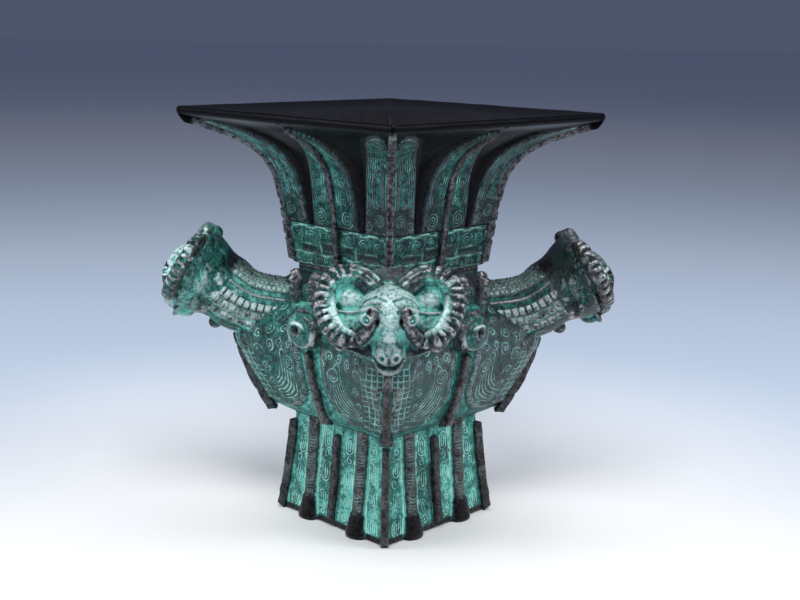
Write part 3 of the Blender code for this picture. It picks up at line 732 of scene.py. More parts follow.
def foot_shell():
    wall, waist = FOOT_SIDE / 2, WAIST_SIDE / 2
    base = [[wall - WALL + 0.3, 0.5], [wall - 0.5, 0.3], [wall - 0.1, 0.6]]
    side = resampled(line_of(foot_half_side, 0.9, FOOT_HEIGHT + 0.4), STEP)
    top = [[waist - 1.2, FOOT_HEIGHT + 0.8]]
    inner = np.array([[waist - WALL, FOOT_HEIGHT - 0.2], [22.4, 19.0], [24.7, 0.9]])
    line = np.concatenate([base, side, top, resampled(inner, INNER_STEP)])
    shell = roughened(foot_carving(line, len(base) + len(side)).skin(line, True), 7.0, 7)
    shell.points[:, 2] = np.maximum(shell.points[:, 2], 0)
    return shell


def flange(line, scale, height, seed, notch=0.5, wear=0.25, under=0, knob=0.0):
    """A worn flange along a line of the wall, standing in the vertical plane through +X.

    Its last part, under the rim, can be painted dark as shade, and its first be wider by a share of its
    width.
    """
    line = resampled(line * np.array((scale, 1)), 0.4)
    away, along = outward(line), lengths(line)
    rest = along[-1] - along

    def noise(size, number):
        return mottle_on(along, along * 0 + seed * 5.1, size, seed + number)

    fade = smooth(0, 1.6, along) * smooth(0, 3.5 if under else 0.8, rest) ** 0.6
    chips = smooth(0.25, 0.6, noise(1.5, 0)) * notch + noise(3.0, 1) * 0.2
    top = (height - chips) * fade - 0.1
    half = FLANGE_THICKNESS / 2 * (1 + 0.1 * noise(4.0, 2) + knob * smooth(4.0, 2.6, along))
    lean = noise(9.0, 3) * 0.2
    rubbed = smooth(0.3, 0.8, noise(7.0, 4)) * 0.3 + wear
    # painted shade on the last part, under the rim
    painted_rim_shade = smooth(under + 3, under, rest) if under else 0
    rings, paint = [], []
    for side, rise in (*FLANGE_SECTION, *((-side, rise) for side, rise in FLANGE_SECTION[::-1])):
        level, up = np.where(rise < 0, rise, rise * top), max(rise, 0)
        rings.append(np.stack([line[:, 0] + away[:, 0] * level, side * half + lean * up,
                               line[:, 1] + away[:, 1] * level], 1))
        darkness_and_shade = 0.45 - 0.1 * up - 0.3 * rubbed + 0.8 * painted_rim_shade * (rise < 0.9)
        paint.append(np.stack([along * 0 + mix(0.7, 0.2, up), rubbed, np.clip(darkness_and_shade, 0, 1)], 1))
    shell = tube_of(np.stack(rings, 1), (0.1, 0.5, 0.3))
    shell.paint["paint"][:-2] = np.stack(paint, 1).reshape(-1, 3)
    return shell


def neck_flanges():
    low = NECK_Z + 0.6
    corner = line_of(neck_half_side, low, RIM_Z - 0.25)
    corner = np.concatenate([corner, [[RIM_SIDE / 2 - 0.2, RIM_Z + 0.1]]])
    face = line_of(neck_half_side, low, RIM_Z - 1.4)
    return (on_corners(flange(corner, CORNER, FLANGE_HEIGHT, 11, wear=0.4, under=4.0))
            + on_faces(flange(face, 1, FLANGE_HEIGHT, 23)))


def body_flanges():
    corner = line_of(body_half_side, BODY_Z + 1.2, SHOULDER_Z + 1.0)
    face = line_of(body_half_side, BODY_Z + WAIST_STEP - 2.5, SHOULDER_Z)
    return (on_corners(flange(corner, CORNER, FLANGE_HEIGHT + 0.4, 31, 0.2, 0.1, knob=0.7))
            + on_faces(flange(face, 1, FLANGE_HEIGHT, 43, 0.3, 0.2, knob=0.4)))


def foot_flanges():
    corner = line_of(foot_half_side, 0.2, FOOT_HEIGHT - 3.0)
    face = line_of(foot_half_side, 1.8, FOOT_HEIGHT - 3.5)
    return (on_corners(flange(corner, CORNER, FLANGE_HEIGHT, 53, 0.1, 0.1))
            + on_faces(flange(face, 1, FLANGE_HEIGHT, 61, 0.1, 0.1)))


# Figures. A ram stands on the corner along +X until it is turned into place

# Steps of the ram's neck: out, up, half its width, half its height, and its lean in degrees
RAM_NECK = np.array((
    (-0.80, 0.30, 0.34, 0.44, 0),
    (-0.22, 0.38, 0.36, 0.44, 8),
    (0.05, 0.505, 0.42, 0.465, 20),
    (0.26, 0.67, 0.49, 0.475, 25),
    (0.42, 0.77, 0.60, 0.54, 27),
    (0.53, 0.86, 0.76, 0.56, 27),
    (0.60, 0.89, 0.82, 0.56, 27),
))

# Steps of its muzzle, downwards: out, up, half its width and half its depth
RAM_MUZZLE = np.array((
    (0.60, 0.93, 0.30, 0.27),
    (0.69, 0.83, 0.25, 0.25),
    (0.78, 0.70, 0.15, 0.19),
    (0.81, 0.57, 0.16, 0.16),
    (0.79, 0.44, 0.155, 0.13),
    (0.76, 0.35, 0.12, 0.11),
))


def ram_point(out, side, up):
    """A place by shares of the ram's length."""
    return np.array((BODY_CORNER + out * RAM_LENGTH, side * RAM_LENGTH, SHOULDER_Z + up * RAM_LENGTH))


def ram_plane(side, rise, front):
    """The same in the leaning plane in which the horns and the ears lie."""
    up = np.array((-math.sin(RAM_LEAN), 0, math.cos(RAM_LEAN)))
    ahead = np.array((math.cos(RAM_LEAN), 0, math.sin(RAM_LEAN)))
    return ram_point(0.62, 0, 0.81) + (np.array((0, side, 0)) + up * rise + ahead * front) * RAM_LENGTH


def beast_point(out, side, up):
    """A place by shares of a shoulder beast's width."""
    return np.array((BODY_SIDE / 2 + out * BEAST_WIDTH, side * BEAST_WIDTH, SHOULDER_Z + up * BEAST_WIDTH))


def ball(centre, radii, lean=0.0):
    """An ellipsoid, with its radii along out, side and up, leaning back by an angle."""
    theta, phi = np.linspace(0, math.pi, 20)[1:-1], around(32)
    globe = np.stack([np.outer(np.sin(theta), np.cos(phi)), np.outer(np.sin(theta), np.sin(phi)),
                      np.outer(np.cos(theta), np.ones(32))], 2)
    return tube_of((globe * radii) @ rotation(-lean, "Y").T + centre)


def ram_ball(spot, radii, lean=0.0, place=ram_point):
    return ball(place(*spot), np.array(radii) * RAM_LENGTH, lean)


def chain(line, radii):
    """A round bar along any line, of any thickness."""
    along = unit(np.gradient(line, axis=0))
    across = unit(np.cross(along, (0.31, 0.62, 0.72)))
    over = np.cross(along, across)
    angles = around(12)
    turn = across[:, None] * np.cos(angles)[:, None] + over[:, None] * np.sin(angles)[:, None]
    return tube_of(line[:, None] + turn * np.broadcast_to(radii, len(line))[:, None, None])


def ram_chain(spots, radii):
    """A bar through spots given in shares of the ram's length."""
    table = [(*ram_point(*spot), radius * RAM_LENGTH) for spot, radius in zip(spots, radii)]
    table = smooth_rows(np.array(table), 30)
    return chain(table[:, :3], table[:, 3])


def post(spots, radii):
    """An upright bar of changing thickness through the spots."""
    table = smooth_rows(np.array([(*spot, radius) for spot, radius in zip(spots, radii)]), 40)
    ring = np.stack([np.cos(around(16)), np.sin(around(16)), around(16) * 0], 1)
    return tube_of(np.array([row[:3] + row[3] * ring for row in table]))


def ram_neck():
    angles = around(40)
    rings = []
    for out, up, half_width, half_height, lean in smooth_rows(RAM_NECK, 40):
        tilt = math.radians(lean)
        rise = np.array((-math.sin(tilt), 0, math.cos(tilt)))
        ring = ram_point(out, 0, up) + np.outer(np.cos(angles) * half_width * RAM_LENGTH, (0, 1, 0))
        rings.append(ring + np.outer(np.sin(angles) * half_height * RAM_LENGTH, rise))
    return tube_of(np.array(rings)[:, ::-1])


def ram_muzzle():
    angles = around(28)
    rings = []
    for out, up, width, depth in smooth_rows(RAM_MUZZLE, 24):
        ring = np.stack([out + np.cos(angles) * depth, np.sin(angles) * width, np.full(28, up)], 1)
        rings.append(ring * RAM_LENGTH + ram_point(0, 0, 0))
    return tube_of(np.array(rings))


def horn_path(count):
    """Middle line of a horn: over the head, round outside the ear and in beside the muzzle.

    With it come its radius, the way out of its ring and the way to its front at every step.
    """
    share = np.linspace(0, 1, count)
    angle = np.radians(mix(158, -168, share))
    side = HORN_CENTRE[0] + np.cos(angle) * mix(0.32, 0.27, share)
    rise = mix(0.19, 0.12, share) + np.sin(angle) * mix(0.28, 0.46, share)
    rise = rise - 0.04 * smooth(0.85, 1.0, share)
    front = mix(0.05, 0.13, share) + 0.06 * np.sin(math.pi * share) + 0.21 * smooth(0.78, 1.0, share)
    path = np.array([ram_plane(*spot) for spot in zip(side, rise, front)])
    middle = np.array([ram_plane(*HORN_CENTRE, f) for f in front])
    radius = mix(0.125, 0.050, np.clip(share - 0.62, 0, 1) / 0.38) * RAM_LENGTH
    along = unit(np.gradient(path, axis=0))
    away = path - middle
    away = unit(away - along * np.sum(away * along, axis=1)[:, None])
    return path, radius, away, np.cross(along, away)


def horn_gaps(spot, total):
    """The narrow hollows between the ribs of a horn, which its root and its tip don't have."""
    phase = (spot + 0.35 * np.sin(spot * 0.9)) / 2.5
    shape = bell(phase % 1 - 0.5, 0.17)
    return shape * smooth(9, 12, spot) * smooth(total * 0.86, total * 0.80, spot)


def horn():
    path, radius, away, ahead = horn_path(170)
    spot = lengths(path)
    cosine, sine = np.cos(around(28)), np.sin(around(28))
    outer = (0.5 + 0.5 * np.cos(around(28) - 0.5)) * smooth(-0.5, 0.2, sine)
    flat = 1 - 0.18 * sine ** 2
    rings = []
    for k in range(len(path)):
        r = radius[k] * (1.05 - 0.26 * horn_gaps(spot[k], spot[-1]) * outer)
        rings.append(path[k] + np.outer(cosine * r, away[k]) + np.outer(sine * r * flat, ahead[k]))
    return tube_of(np.array(rings))


def horn_beads():
    """The row of beads along the inner edge of a horn's lower half."""
    path, radius, away, ahead = horn_path(170)
    chosen = slice(70, 140)
    spot = lengths(path)[chosen]
    line = path[chosen] + (ahead[chosen] * 0.62 - away[chosen] * 0.72) * radius[chosen, None]
    return chain(line, 0.62 + 0.34 * np.cos(2 * math.pi * spot / 1.75 + np.sin(spot * 1.3)))


def remeshed(shells):
    """One closed skin round the given overlapping skins."""
    whole = joined(shells)
    mesh = bpy.data.meshes.new("rough")
    mesh.from_pydata(whole.points.tolist(), [], whole.quads.tolist() + whole.triangles.tolist())
    bm = bmesh.new()
    bm.from_mesh(mesh)
    bmesh.ops.recalc_face_normals(bm, faces=bm.faces)
    bm.to_mesh(mesh)
    bm.free()
    item = bpy.data.objects.new("rough", mesh)
    bpy.context.scene.collection.objects.link(item)
    step = item.modifiers.new("remesh", "REMESH")
    step.mode = "VOXEL"
    step.voxel_size = VOXEL
    made = item.evaluated_get(bpy.context.evaluated_depsgraph_get()).to_mesh()
    points = np.zeros(len(made.vertices) * 3)
    made.vertices.foreach_get("co", points)
    sizes = np.zeros(len(made.polygons), int)
    made.polygons.foreach_get("loop_total", sizes)
    corners = np.zeros(len(made.loops), int)
    made.loops.foreach_get("vertex_index", corners)
    starts = np.cumsum(sizes) - sizes
    quads, triangles = (corners[starts[sizes == n][:, None] + np.arange(n)] for n in (4, 3))
    bpy.data.objects.remove(item)
    shell = Shell(points.reshape(-1, 3), quads, triangles)
    shell.points = shell.relaxed(2)
    return shell


def ram_shell():
    lip = [(0.80, -0.165, 0.37), (0.87, -0.11, 0.28), (0.89, 0, 0.245), (0.87, 0.11, 0.28),
           (0.80, 0.165, 0.37)]
    cheek = [(0.88, 0.14, 0.84), (0.87, 0.20, 0.72), (0.82, 0.28, 0.58), (0.74, 0.36, 0.47)]
    brow = [(0.93, 0.10, 0.92), (0.92, 0.20, 0.99), (0.85, 0.32, 0.95)]
    ear_rib = [ram_plane(0.34, 0.05, 0.14), ram_plane(0.47, 0.035, 0.145), ram_plane(0.62, 0.06, 0.13)]
    parts = [
        ram_neck(),
        ram_ball((-0.13, 0, 0.04), (0.205, 0.33, 0.32)),
        ram_ball((0.62, 0, 0.86), (0.36, 0.37, 0.35)),
        ram_muzzle(),
        ram_ball((0.875, 0, 0.465), (0.145, 0.165, 0.15)),
        ram_chain(lip, (0.02, 0.032, 0.036, 0.032, 0.02)),
        ram_ball((0.77, 0, 0.285), (0.14, 0.15, 0.075), 0.2),
        ram_ball((0.344, 0, 0.13), (0.09, 0.07, 0.08)),
    ]
    halves = [
        horn(),
        horn_beads(),
        ram_ball((0.48, 0.22, 0.06), (0.10, 0.155, 0.135), RAM_LEAN, ram_plane),
        ram_ball((0.47, -0.03, 0.05), (0.075, 0.17, 0.16), RAM_LEAN, ram_plane),
        chain(np.array(ear_rib), 0.45),
        ram_ball((0.855, 0.27, 0.87), (0.085, 0.085, 0.065)),
        ram_chain(cheek, (0.03, 0.05, 0.05, 0.03)),
        ram_chain(brow, (0.03, 0.04, 0.03)),
        ram_ball((0.44, 0.60, 0.80), (0.10, 0.09, 0.17), RAM_LEAN),
        ram_ball((0.52, 0.64, 0.54), (0.07, 0.07, 0.08)),
        ram_ball((0.46, 0.56, 0.44), (0.09, 0.07, 0.06)),
        ram_ball((0.37, 0.40, 1.30), (0.12, 0.15, 0.12)),
    ]
    shell = remeshed(parts + halves + [half.mirrored() for half in halves])
    carve_ram(shell)
    return shell


def cell_edge(u, v):
    """0 in the middle of a cell of a grid, and a half at its edge."""
    return np.maximum(np.abs(u % 1 - 0.5), np.abs(v % 1 - 0.5))


def dress(shell, lift, coat, least):
    """Raise a figure's skin, paint it, and keep its inner end within the vessel's wall."""
    shell.push(lift)
    x, y, z = shell.points.T
    shell.points[:, 0] = np.maximum(x, least(np.abs(y), z))
    shell.paint["paint"] = coat.layers[:, :3]
    shell.paint["carved"][:, 2] = coat.layers[:, 3]


def carve_ram(shell):
    """Scales, ribs and features on a ram, and its colours."""
    p = shell.points
    x, side, z = p[:, 0], np.abs(p[:, 1]), p[:, 2]
    even = np.stack([x, side, z], 1)
    out, up = (x - BODY_CORNER) / RAM_LENGTH, (z - SHOULDER_Z) / RAM_LENGTH
    lift = np.zeros(len(p))
    coat = Coat(x.shape, 0.6, 0.4)

    def near(spot, radii, place=ram_point):
        gap = np.linalg.norm((even - place(*spot)) / (np.array(radii) * RAM_LENGTH), axis=1)
        return smooth(1.25, 1, gap)

    def apart(spots, place=ram_point):
        return line_distance(even, np.array([place(*spot) for spot in spots]))[0]

    def groove(spots, width, depth, values, place=ram_point):
        shape = bell(apart(spots, place), width)
        lift[:] = lift - depth * shape
        coat(shape * 1.6, *values)

    path, radius, away, ahead = horn_path(90)
    gap, spot = line_distance(even, path)
    total = lengths(path)
    near_horn = smooth(1.1, 0.35, gap - np.interp(spot, total, radius))
    off_horn = 1 - near_horn
    at = np.clip(np.searchsorted(total, spot), 0, len(path) - 1)
    from_path = even - path[at]
    inward = -np.sum(from_path * away[at], axis=1) / np.maximum(gap, 0.3)
    frontal = np.sum(from_path * ahead[at], axis=1) / np.maximum(gap, 0.3)
    facing = shell.normals() @ np.array((math.cos(RAM_LEAN), 0, math.sin(RAM_LEAN)))

    head = np.linalg.norm((p - ram_point(0.64, 0, 0.86)) / RAM_LENGTH / (0.38, 0.39, 0.37), axis=1)
    on_head = smooth(1.2, 1.02, head) * off_horn * smooth(0.36, 0.45, out)
    muzzle = off_horn * smooth(5.6, 4.6, side) * smooth(0.62, 0.72, out) * smooth(0.95, 0.85, up)
    elsewhere = off_horn * (1 - on_head) * (1 - muzzle)

    # the neck's own coordinates: how far along it, and the angle round it from its side upwards
    table = smooth_rows(RAM_NECK, 40)
    axis = np.array([ram_point(row[0], 0, row[1]) for row in table])
    steps = lengths(axis)
    run = line_distance(even * (1, 0, 1), axis)[1]
    columns = (axis[:, 0], axis[:, 2], *table.T[2:])
    axis_x, axis_z, wide, tall, lean = (np.interp(run, steps, column) for column in columns)
    tilt = np.radians(lean)
    above = (z - axis_z) * np.cos(tilt) - (x - axis_x) * np.sin(tilt)
    angle = np.degrees(np.arctan2(above / tall, side / wide))
    on_neck = elsewhere * smooth(0.72, 0.62, out)
    along = run - np.interp(ram_point(-0.55, 0, 0)[0], axis[:, 0], steps)
    nape = 24.0
    flare = on_neck * smooth(nape - 1.5, nape + 3, along)

    # three rows of scales, narrowing towards the head, and small ones up to the spine
    coat(on_neck, 0.36, 0.35)
    low, high, rows = -36.0, 14.0, 3
    scales = on_neck * smooth(-4.5, -4.0, along) * smooth(nape - 0.8, nape - 1.2, along)
    line = (angle - low) / (high - low) * rows
    column = (along + 1.3 * np.floor(line)) / 2.7
    band = scales * inside((angle - low) / 5, (high - angle) / 5)
    edge = cell_edge(line, column)
    lift += band * (0.8 * smooth(0.5, 0.34, edge) - 0.35)
    coat(band, 0.28, 0.9, 0)
    top_row = band * smooth(1.95, 2.05, line)
    # painted highlights: the upper part of each scale is paler, and the top row whiter still
    painted_highlight = smooth(-0.35, 0.30, line % 1 - 0.5) * smooth(0.46, 0.36, edge)
    coat(band * painted_highlight * smooth(-0.3, 0.5, mottle(p, 2.6, 31)), 0.1, 1, pale=0.75)
    coat(top_row * smooth(0.46, 0.38, edge) * painted_highlight, 0.05, 1, 0, 1.6)
    coat(band * smooth(0.40, 0.47, edge), 0.55, dark=0.25, pale=0)
    coat(top_row * smooth(0.38, 0.44, edge), 0.2, dark=0.9, pale=0)
    spine = on_neck * smooth(39, 41, angle) * smooth(-8, -6, along) * smooth(nape + 1, nape - 1, along)
    small = (angle - 40) / 12
    across = (along + np.floor(small)) / 2
    edge = cell_edge(small, across)
    lift += spine * (0.5 * smooth(0.5, 0.3, edge) - 0.2)
    coat(spine, 0.3, 0.9, 0.1)
    # painted glints on the lower small scales of the spine
    coat(spine * smooth(72, 45, angle) * smooth(0.44, 0.30, edge), pale=0.5)
    for place, width in ((26.0, 2.6), (38.0, 1.5)):
        lift += 0.45 * scales * bell(angle - place, width)

    # a ladder on the breast, as beside the corner flanges
    breast = off_horn * smooth(0.16, 0.10, out) * smooth(76.0, 74.5, z)
    breast = breast * smooth(7.6, 7.2, side) * smooth(1.0, 1.3, side)
    coat(breast, 0.4, 0.35, 0, 0)
    on_spine = spine > band
    on_scales = ((small + 0.5, line + 0.5), (across + 0.5, column + 0.5), (spine * 0.8, band))
    grid = [np.where(on_spine, a, b) for a, b in on_scales]
    ladder = (*rungs(side * CORNER, z), breast * mix(1, 0.45, np.clip(side / 7.5, 0, 1)))
    grid = [np.where(breast > on_spine, a, b) for a, b in zip(ladder, grid)]
    shell.paint["grid"] = np.stack(grid, 1)

    # a smooth strip between both kinds of scales, the underside, and flecks behind the head
    strip = scales * smooth(14, 16, angle) * smooth(40, 37, angle)
    coat(strip, 0.68 + 0.4 * mottle(p, 3.0, 32), 0.1, 0.05)
    coat(scales * bell(angle - 26, 3.0), 0.1, 0.9, pale=0.25)
    coat(on_neck * smooth(low + 2, low - 4, angle), 0.3, 0.35)
    coat(on_neck * smooth(0, 0.6, along + 10) * bell(angle - low, 2.5), 0.8)
    flecks = on_neck * smooth(nape - 9, nape - 3, along) * smooth(0.1, 0.7, mottle(p, 1.8, 22))
    flecks = flecks * smooth(-30, -10, angle) * smooth(40, 20, angle)
    lift += flecks * 0.4
    coat(flecks, wear=1, pale=0.6)

    # back of the head: a hollow above, painted dark as shade, green sides and worn lumps
    coat(flare, 0.52, 0.2, 0.15)
    coat(flare * smooth(10, 40, angle), 0.72, dark=0.3)
    coat(on_neck * bell(along - nape - 1, 3.0) * smooth(25, 55, angle), 0.4, dark=0.55)
    coat(flare * smooth(0, -30, angle), 0.5, 0.4, pale=0.1)
    coat(on_neck * smooth(nape + 3, nape + 8, along) * smooth(40, 10, angle), 0.72, pale=0.05)
    lift -= flare * 0.6 * smooth(-40, 10, angle)
    coat(on_neck * near((0.44, 0.60, 0.80), (0.12, 0.13, 0.19)), 0.65, 0.8, pale=0.2)
    coat(on_neck * near((0.52, 0.64, 0.54), (0.09, 0.09, 0.10)), 0.7, pale=0.05)
    coat(on_neck * near((0.46, 0.56, 0.44), (0.11, 0.09, 0.08)), 0.05, 1, pale=0.1)
    # painted shade on the front of the neck under the horns
    shade_under_horn = smooth(0.45, 0.6, out) * smooth(0.45, 0.75, facing) * smooth(0.75, 0.6, up)
    coat(elsewhere * shade_under_horn, 0.22, 0.3, 0.3, 0)
    crest = on_neck * smooth(0.95, 1.05, up) * smooth(0.30, 0.36, out) * smooth(7.5, 6.0, side)
    coat(crest, 0.22, 0.4, 0.3)

    # horns: dark and knobbly outside, smooth at the root, mint along the inner edge
    behind = smooth(0.05, -0.30, frontal) * smooth(0.0, 0.4, -inward)
    coat(near_horn, 0.45, 0.9, 0)
    gaps = near_horn * horn_gaps(spot, total[-1]) * smooth(0.5, -0.1, inward) * (1 - behind)
    coat(gaps * 1.2, 0.6, 0, 0.75)
    lift -= 0.35 * gaps
    inner = near_horn * smooth(0.2, 0.7, inward)
    coat(inner, 1, 0.3, 0)
    coat(inner * smooth(0.40, 0.52, spot / total[-1]), pale=0.75 + 0.35 * mottle(p, 2.2, 27))
    coat(near_horn * smooth(10, 6, spot), 0.22, 0.6)
    coat(near_horn * behind, 0.55, 0.7, 0.1)
    coat(near_horn * behind * bell(frontal + 0.45, 0.30), 0.1, 0.5, 0.45)
    lift -= 0.22 * near_horn * smooth(12, 8, spot) * (0.5 + 0.5 * np.cos(inward * 11))
    lift += near_horn * 0.10 * mottle(p, 1.0, 23) * smooth(8, 12, spot)
    # painted highlights: pale glints on the horns' fronts and along their outer edge up top
    glint = near_horn * smooth(0.0, 0.5, mottle(p, 1.7, 24)) * smooth(84, 92, z)
    coat(glint * smooth(0.0, 0.6, frontal) * smooth(0.6, 0.2, np.abs(inward)), wear=1, pale=0.8)
    outer = near_horn * smooth(-0.5, -0.9, inward) * smooth(0.1, 0.6, mottle(p, 2.1, 26))
    coat(outer * smooth(88, 96, z), wear=1, pale=0.7)
    tip = near_horn * smooth(0.78, 0.84, spot / total[-1])
    coat(tip, 0.14, 0.8, 0.2, 0)
    coat(tip * smooth(0.35, 0.75, inward), 0.1, 0.1, 0.95)

    # face: a curly crown, eyes, a worn bridge that also carries a painted highlight, and ears
    coat(np.maximum(on_head, muzzle), 0.85, 1, pale=0.5)
    crown = on_head * smooth(0.88, 1.0, up)
    curls = np.cos(side * 3.3 + 1.4 * np.sin(z * 2.3)) * np.cos(z * 3.3 + 1.1 * np.cos(side * 2.1))
    lift += crown * 0.05 * curls
    coat(crown, 0.55, 1, pale=0.5)
    coat(crown * smooth(0.0, 0.8, -curls), pale=0.38)
    coat(on_head * smooth(6.0, 9.0, side), 0.95, pale=0.35)
    coat(near((0.855, 0.27, 0.87), (0.10, 0.10, 0.08)), 1, 0.6, pale=0.3)
    iris = apart(((0.80, 0.28, 0.87), (1.0, 0.26, 0.875)))
    lift += 0.3 * bell(iris - 1.3, 0.35) - 0.5 * bell(iris, 0.6)
    coat(bell(iris - 1.3, 0.35), pale=0.45)
    coat(bell(iris, 0.6), 1.2, 0, 0, 0)
    coat(muzzle * smooth(1.8, 3.2, side) * smooth(0.84, 0.74, up), 1.25, 0.1, pale=0.1)
    bridge = muzzle * bell(side, 1.6) * smooth(0.52, 0.62, up)
    coat(bridge, wear=1, pale=0.65)
    lift += 0.3 * bridge
    # a painted highlight, with wear, down the middle of the forehead
    forehead_highlight = on_head * bell(side, 2.6) * smooth(0.80, 0.92, up) * smooth(1.20, 1.08, up)
    coat(forehead_highlight, wear=1, pale=0.85)
    ear_lid = near((0.48, 0.22, 0.06), (0.12, 0.175, 0.155), ram_plane) * off_horn
    ear_leaf = near((0.47, -0.03, 0.05), (0.095, 0.19, 0.18), ram_plane) * off_horn * (1 - ear_lid)
    coat(ear_lid, 1, 0.3, pale=0.55)
    coat(ear_leaf, 1.05, 0.4, pale=0.25)

    # grooves: two arcs over each eye, its inner corner and lids, the nose's side and top, the mouth. The
    # eye's inner corner and the mouth are painted dark as shade in their hollows.
    arc, lid = (0.8, 0, 0.35, 0.1), (0.8, 0, 0.3, 0)
    for spots, width, depth, values in (
            (((0.90, 0.045, 1.08), (0.82, 0.16, 1.11), (0.75, 0.28, 1.05), (0.735, 0.33, 0.97)),
             0.42, 0.45, arc),
            (((0.95, 0.10, 0.96), (0.885, 0.20, 1.0), (0.82, 0.29, 0.96)), 0.42, 0.45, arc),
            (((0.955, 0.135, 0.86), (0.93, 0.155, 0.80)), 0.6, 1.0, (0, 0, 1, 0)),
            (((0.93, 0.19, 0.885), (0.88, 0.28, 0.90), (0.80, 0.345, 0.85)), 0.38, 0.45, lid),
            (((0.93, 0.20, 0.80), (0.88, 0.29, 0.785), (0.80, 0.34, 0.82)), 0.38, 0.45, lid),
            (((0.99, 0.105, 0.74), (0.98, 0.10, 0.60)), 0.5, 0.35, (1.1, 0, None, 0)),
            (((1.02, 0, 0.615), (0.97, 0.10, 0.60), (0.90, 0.17, 0.53)), 0.5, 0.7, (0.9, 0, 0.6, 0)),
            (((0.94, 0, 0.295), (0.91, 0.08, 0.31), (0.86, 0.14, 0.36), (0.79, 0.175, 0.42)),
             0.5, 0.7, (0.05, 0, 0.85, 0))):
        groove(spots, width, depth, values)
    lip = apart(((0.91, 0, 0.235), (0.88, 0.11, 0.27), (0.80, 0.165, 0.37)))
    coat(bell(lip, 0.9), 0.3, 0.6, 0.1, 0.1)
    pad = near((0.875, 0, 0.465), (0.16, 0.18, 0.165))
    coat(pad * smooth(0.80, 0.90, out), 0.5, 0.8, pale=0.24)
    nostril = np.linalg.norm(even - ram_point(1.0, 0.085, 0.43), axis=1)
    lift += 0.45 * bell(nostril - 1.35, 0.4) - 0.7 * bell(nostril, 0.7)
    coat(bell(nostril - 1.35, 0.4), 0.8, pale=0.35)
    # the nostrils' holes painted dark as shade
    coat(bell(nostril, 0.7), 0.6, 0, 0.7, 0)
    coat(pad * bell(side, 0.6) * smooth(0.46, 0.40, up), 0.3, dark=0.8, pale=0)
    rib = apart(((0.33, 0.05, 0.16), (0.47, 0.035, 0.16), (0.64, 0.06, 0.15)), ram_plane)
    coat(bell(rib, 0.75), 0.05, 1, pale=0.35)
    groove(((0.36, 0.09, 0.15), (0.48, 0.095, 0.16), (0.60, 0.10, 0.14)),
           0.5, 0.5, (0.9, 0, None, 0), ram_plane)

    noise = mottle(p, 5.0, 9) * 0.12 + mottle(p, 1.4, 10) * 0.06 + mottle(p, 0.8, 11) * 0.04
    dress(shell, lift + noise, coat, lambda aside, z: wall_half_side(z) * CORNER - aside)


def beast_shell():
    """The small head on the middle of a shoulder: a round disc of a snout under two upright horns."""
    centre, size = 0.53, BEAST_WIDTH
    horn_line = ((0.05, 0.60), (0.10, 1.1), (0.13, 1.55), (0.14, 1.72), (0.13, 1.92))
    small_horn = post([beast_point(out, 0.333, up) for out, up in horn_line],
                      np.array((0.15, 0.14, 0.135, 0.155, 0.06)) * size)
    cheek = chain(np.array([beast_point(0.26, 0.36, 0.80), beast_point(0.26, 0.44, centre),
                            beast_point(0.26, 0.36, 0.22)]), 0.9)
    shell = remeshed([
        ball(beast_point(0.07, 0, centre), np.array((0.40, 0.49, 0.49)) * size, -0.15),
        ball(beast_point(0.02, 0, 0.98), np.array((0.32, 0.34, 0.18)) * size),
        ball(beast_point(-0.45, 0, 0.62), np.array((0.60, 0.42, 0.50)) * size),
        small_horn, small_horn.mirrored(), cheek, cheek.mirrored()])
    p = shell.points
    even = np.stack([p[:, 0], np.abs(p[:, 1]), p[:, 2]], 1)
    rise, aside = (p[:, 2] - SHOULDER_Z) / size, even[:, 1] / size
    height = p[:, 2] - beast_point(0, 0, centre)[2]
    face, pit = np.hypot(p[:, 1], height), np.hypot(p[:, 1], height - 0.6)
    out = p[:, 0] - BODY_SIDE / 2
    front = smooth(3, 5, out)
    rings = 0.4 * bell(face - 6.0, 0.7) - 1.3 * bell(pit, 1.1)
    lift = front * (rings + 0.35 * bell(pit - 2.2, 0.5) - 0.3 * bell(face - 4.4, 0.7))
    lift += 0.5 * smooth(0.26, 0.33, aside) * smooth(1.05, 1.2, rise) * bell(rise % 0.16 - 0.08, 0.04)
    coat = Coat(rise.shape, 0.75, 0.4)
    coat(1, dark=0.1)
    for level in (0.74, 0.82):
        crescent = ((0.46, 0.0, level), (0.43, 0.14, level - 0.03), (0.37, 0.25, level - 0.12))
        gap = line_distance(even, np.array([beast_point(*spot) for spot in crescent]))[0]
        lift += 0.35 * bell(gap, 0.42)
        coat(bell(gap, 0.5), 0.8, 0.6, 0, 0.95)
    coat(smooth(1.05, 1.2, rise) * smooth(0.17, 0.22, aside), 0.2, 0.6, 0.3, 0)
    coat(smooth(1.62, 1.74, rise), 0.15, 0.9, 0.1, 0)
    coat(smooth(1.0, 1.1, rise) * smooth(0.17, 0.12, aside), 1.1, 0, 0.1, 0)
    coat(front * bell(pit, 1.2), 0, 0.1, 1, 0)
    coat(front * bell(face - 4.4, 0.6), 1, 0, 0.35, 0)
    coat(front * bell(face - 6.4, 0.9) * smooth(1.0, -1.6, height), 0.1, 1, 0, 0.45)
    coat(bell(face - 7.4, 0.8) * smooth(0.5, 2.0, out), 0.2, 0.8, 0.25, 0)
    noise = mottle(p, 1.6, 12) * 0.08 + mottle(p, 0.8, 13) * 0.05
    dress(shell, lift + noise, coat, lambda aside, z: wall_half_side(z))
    return shell


# Material

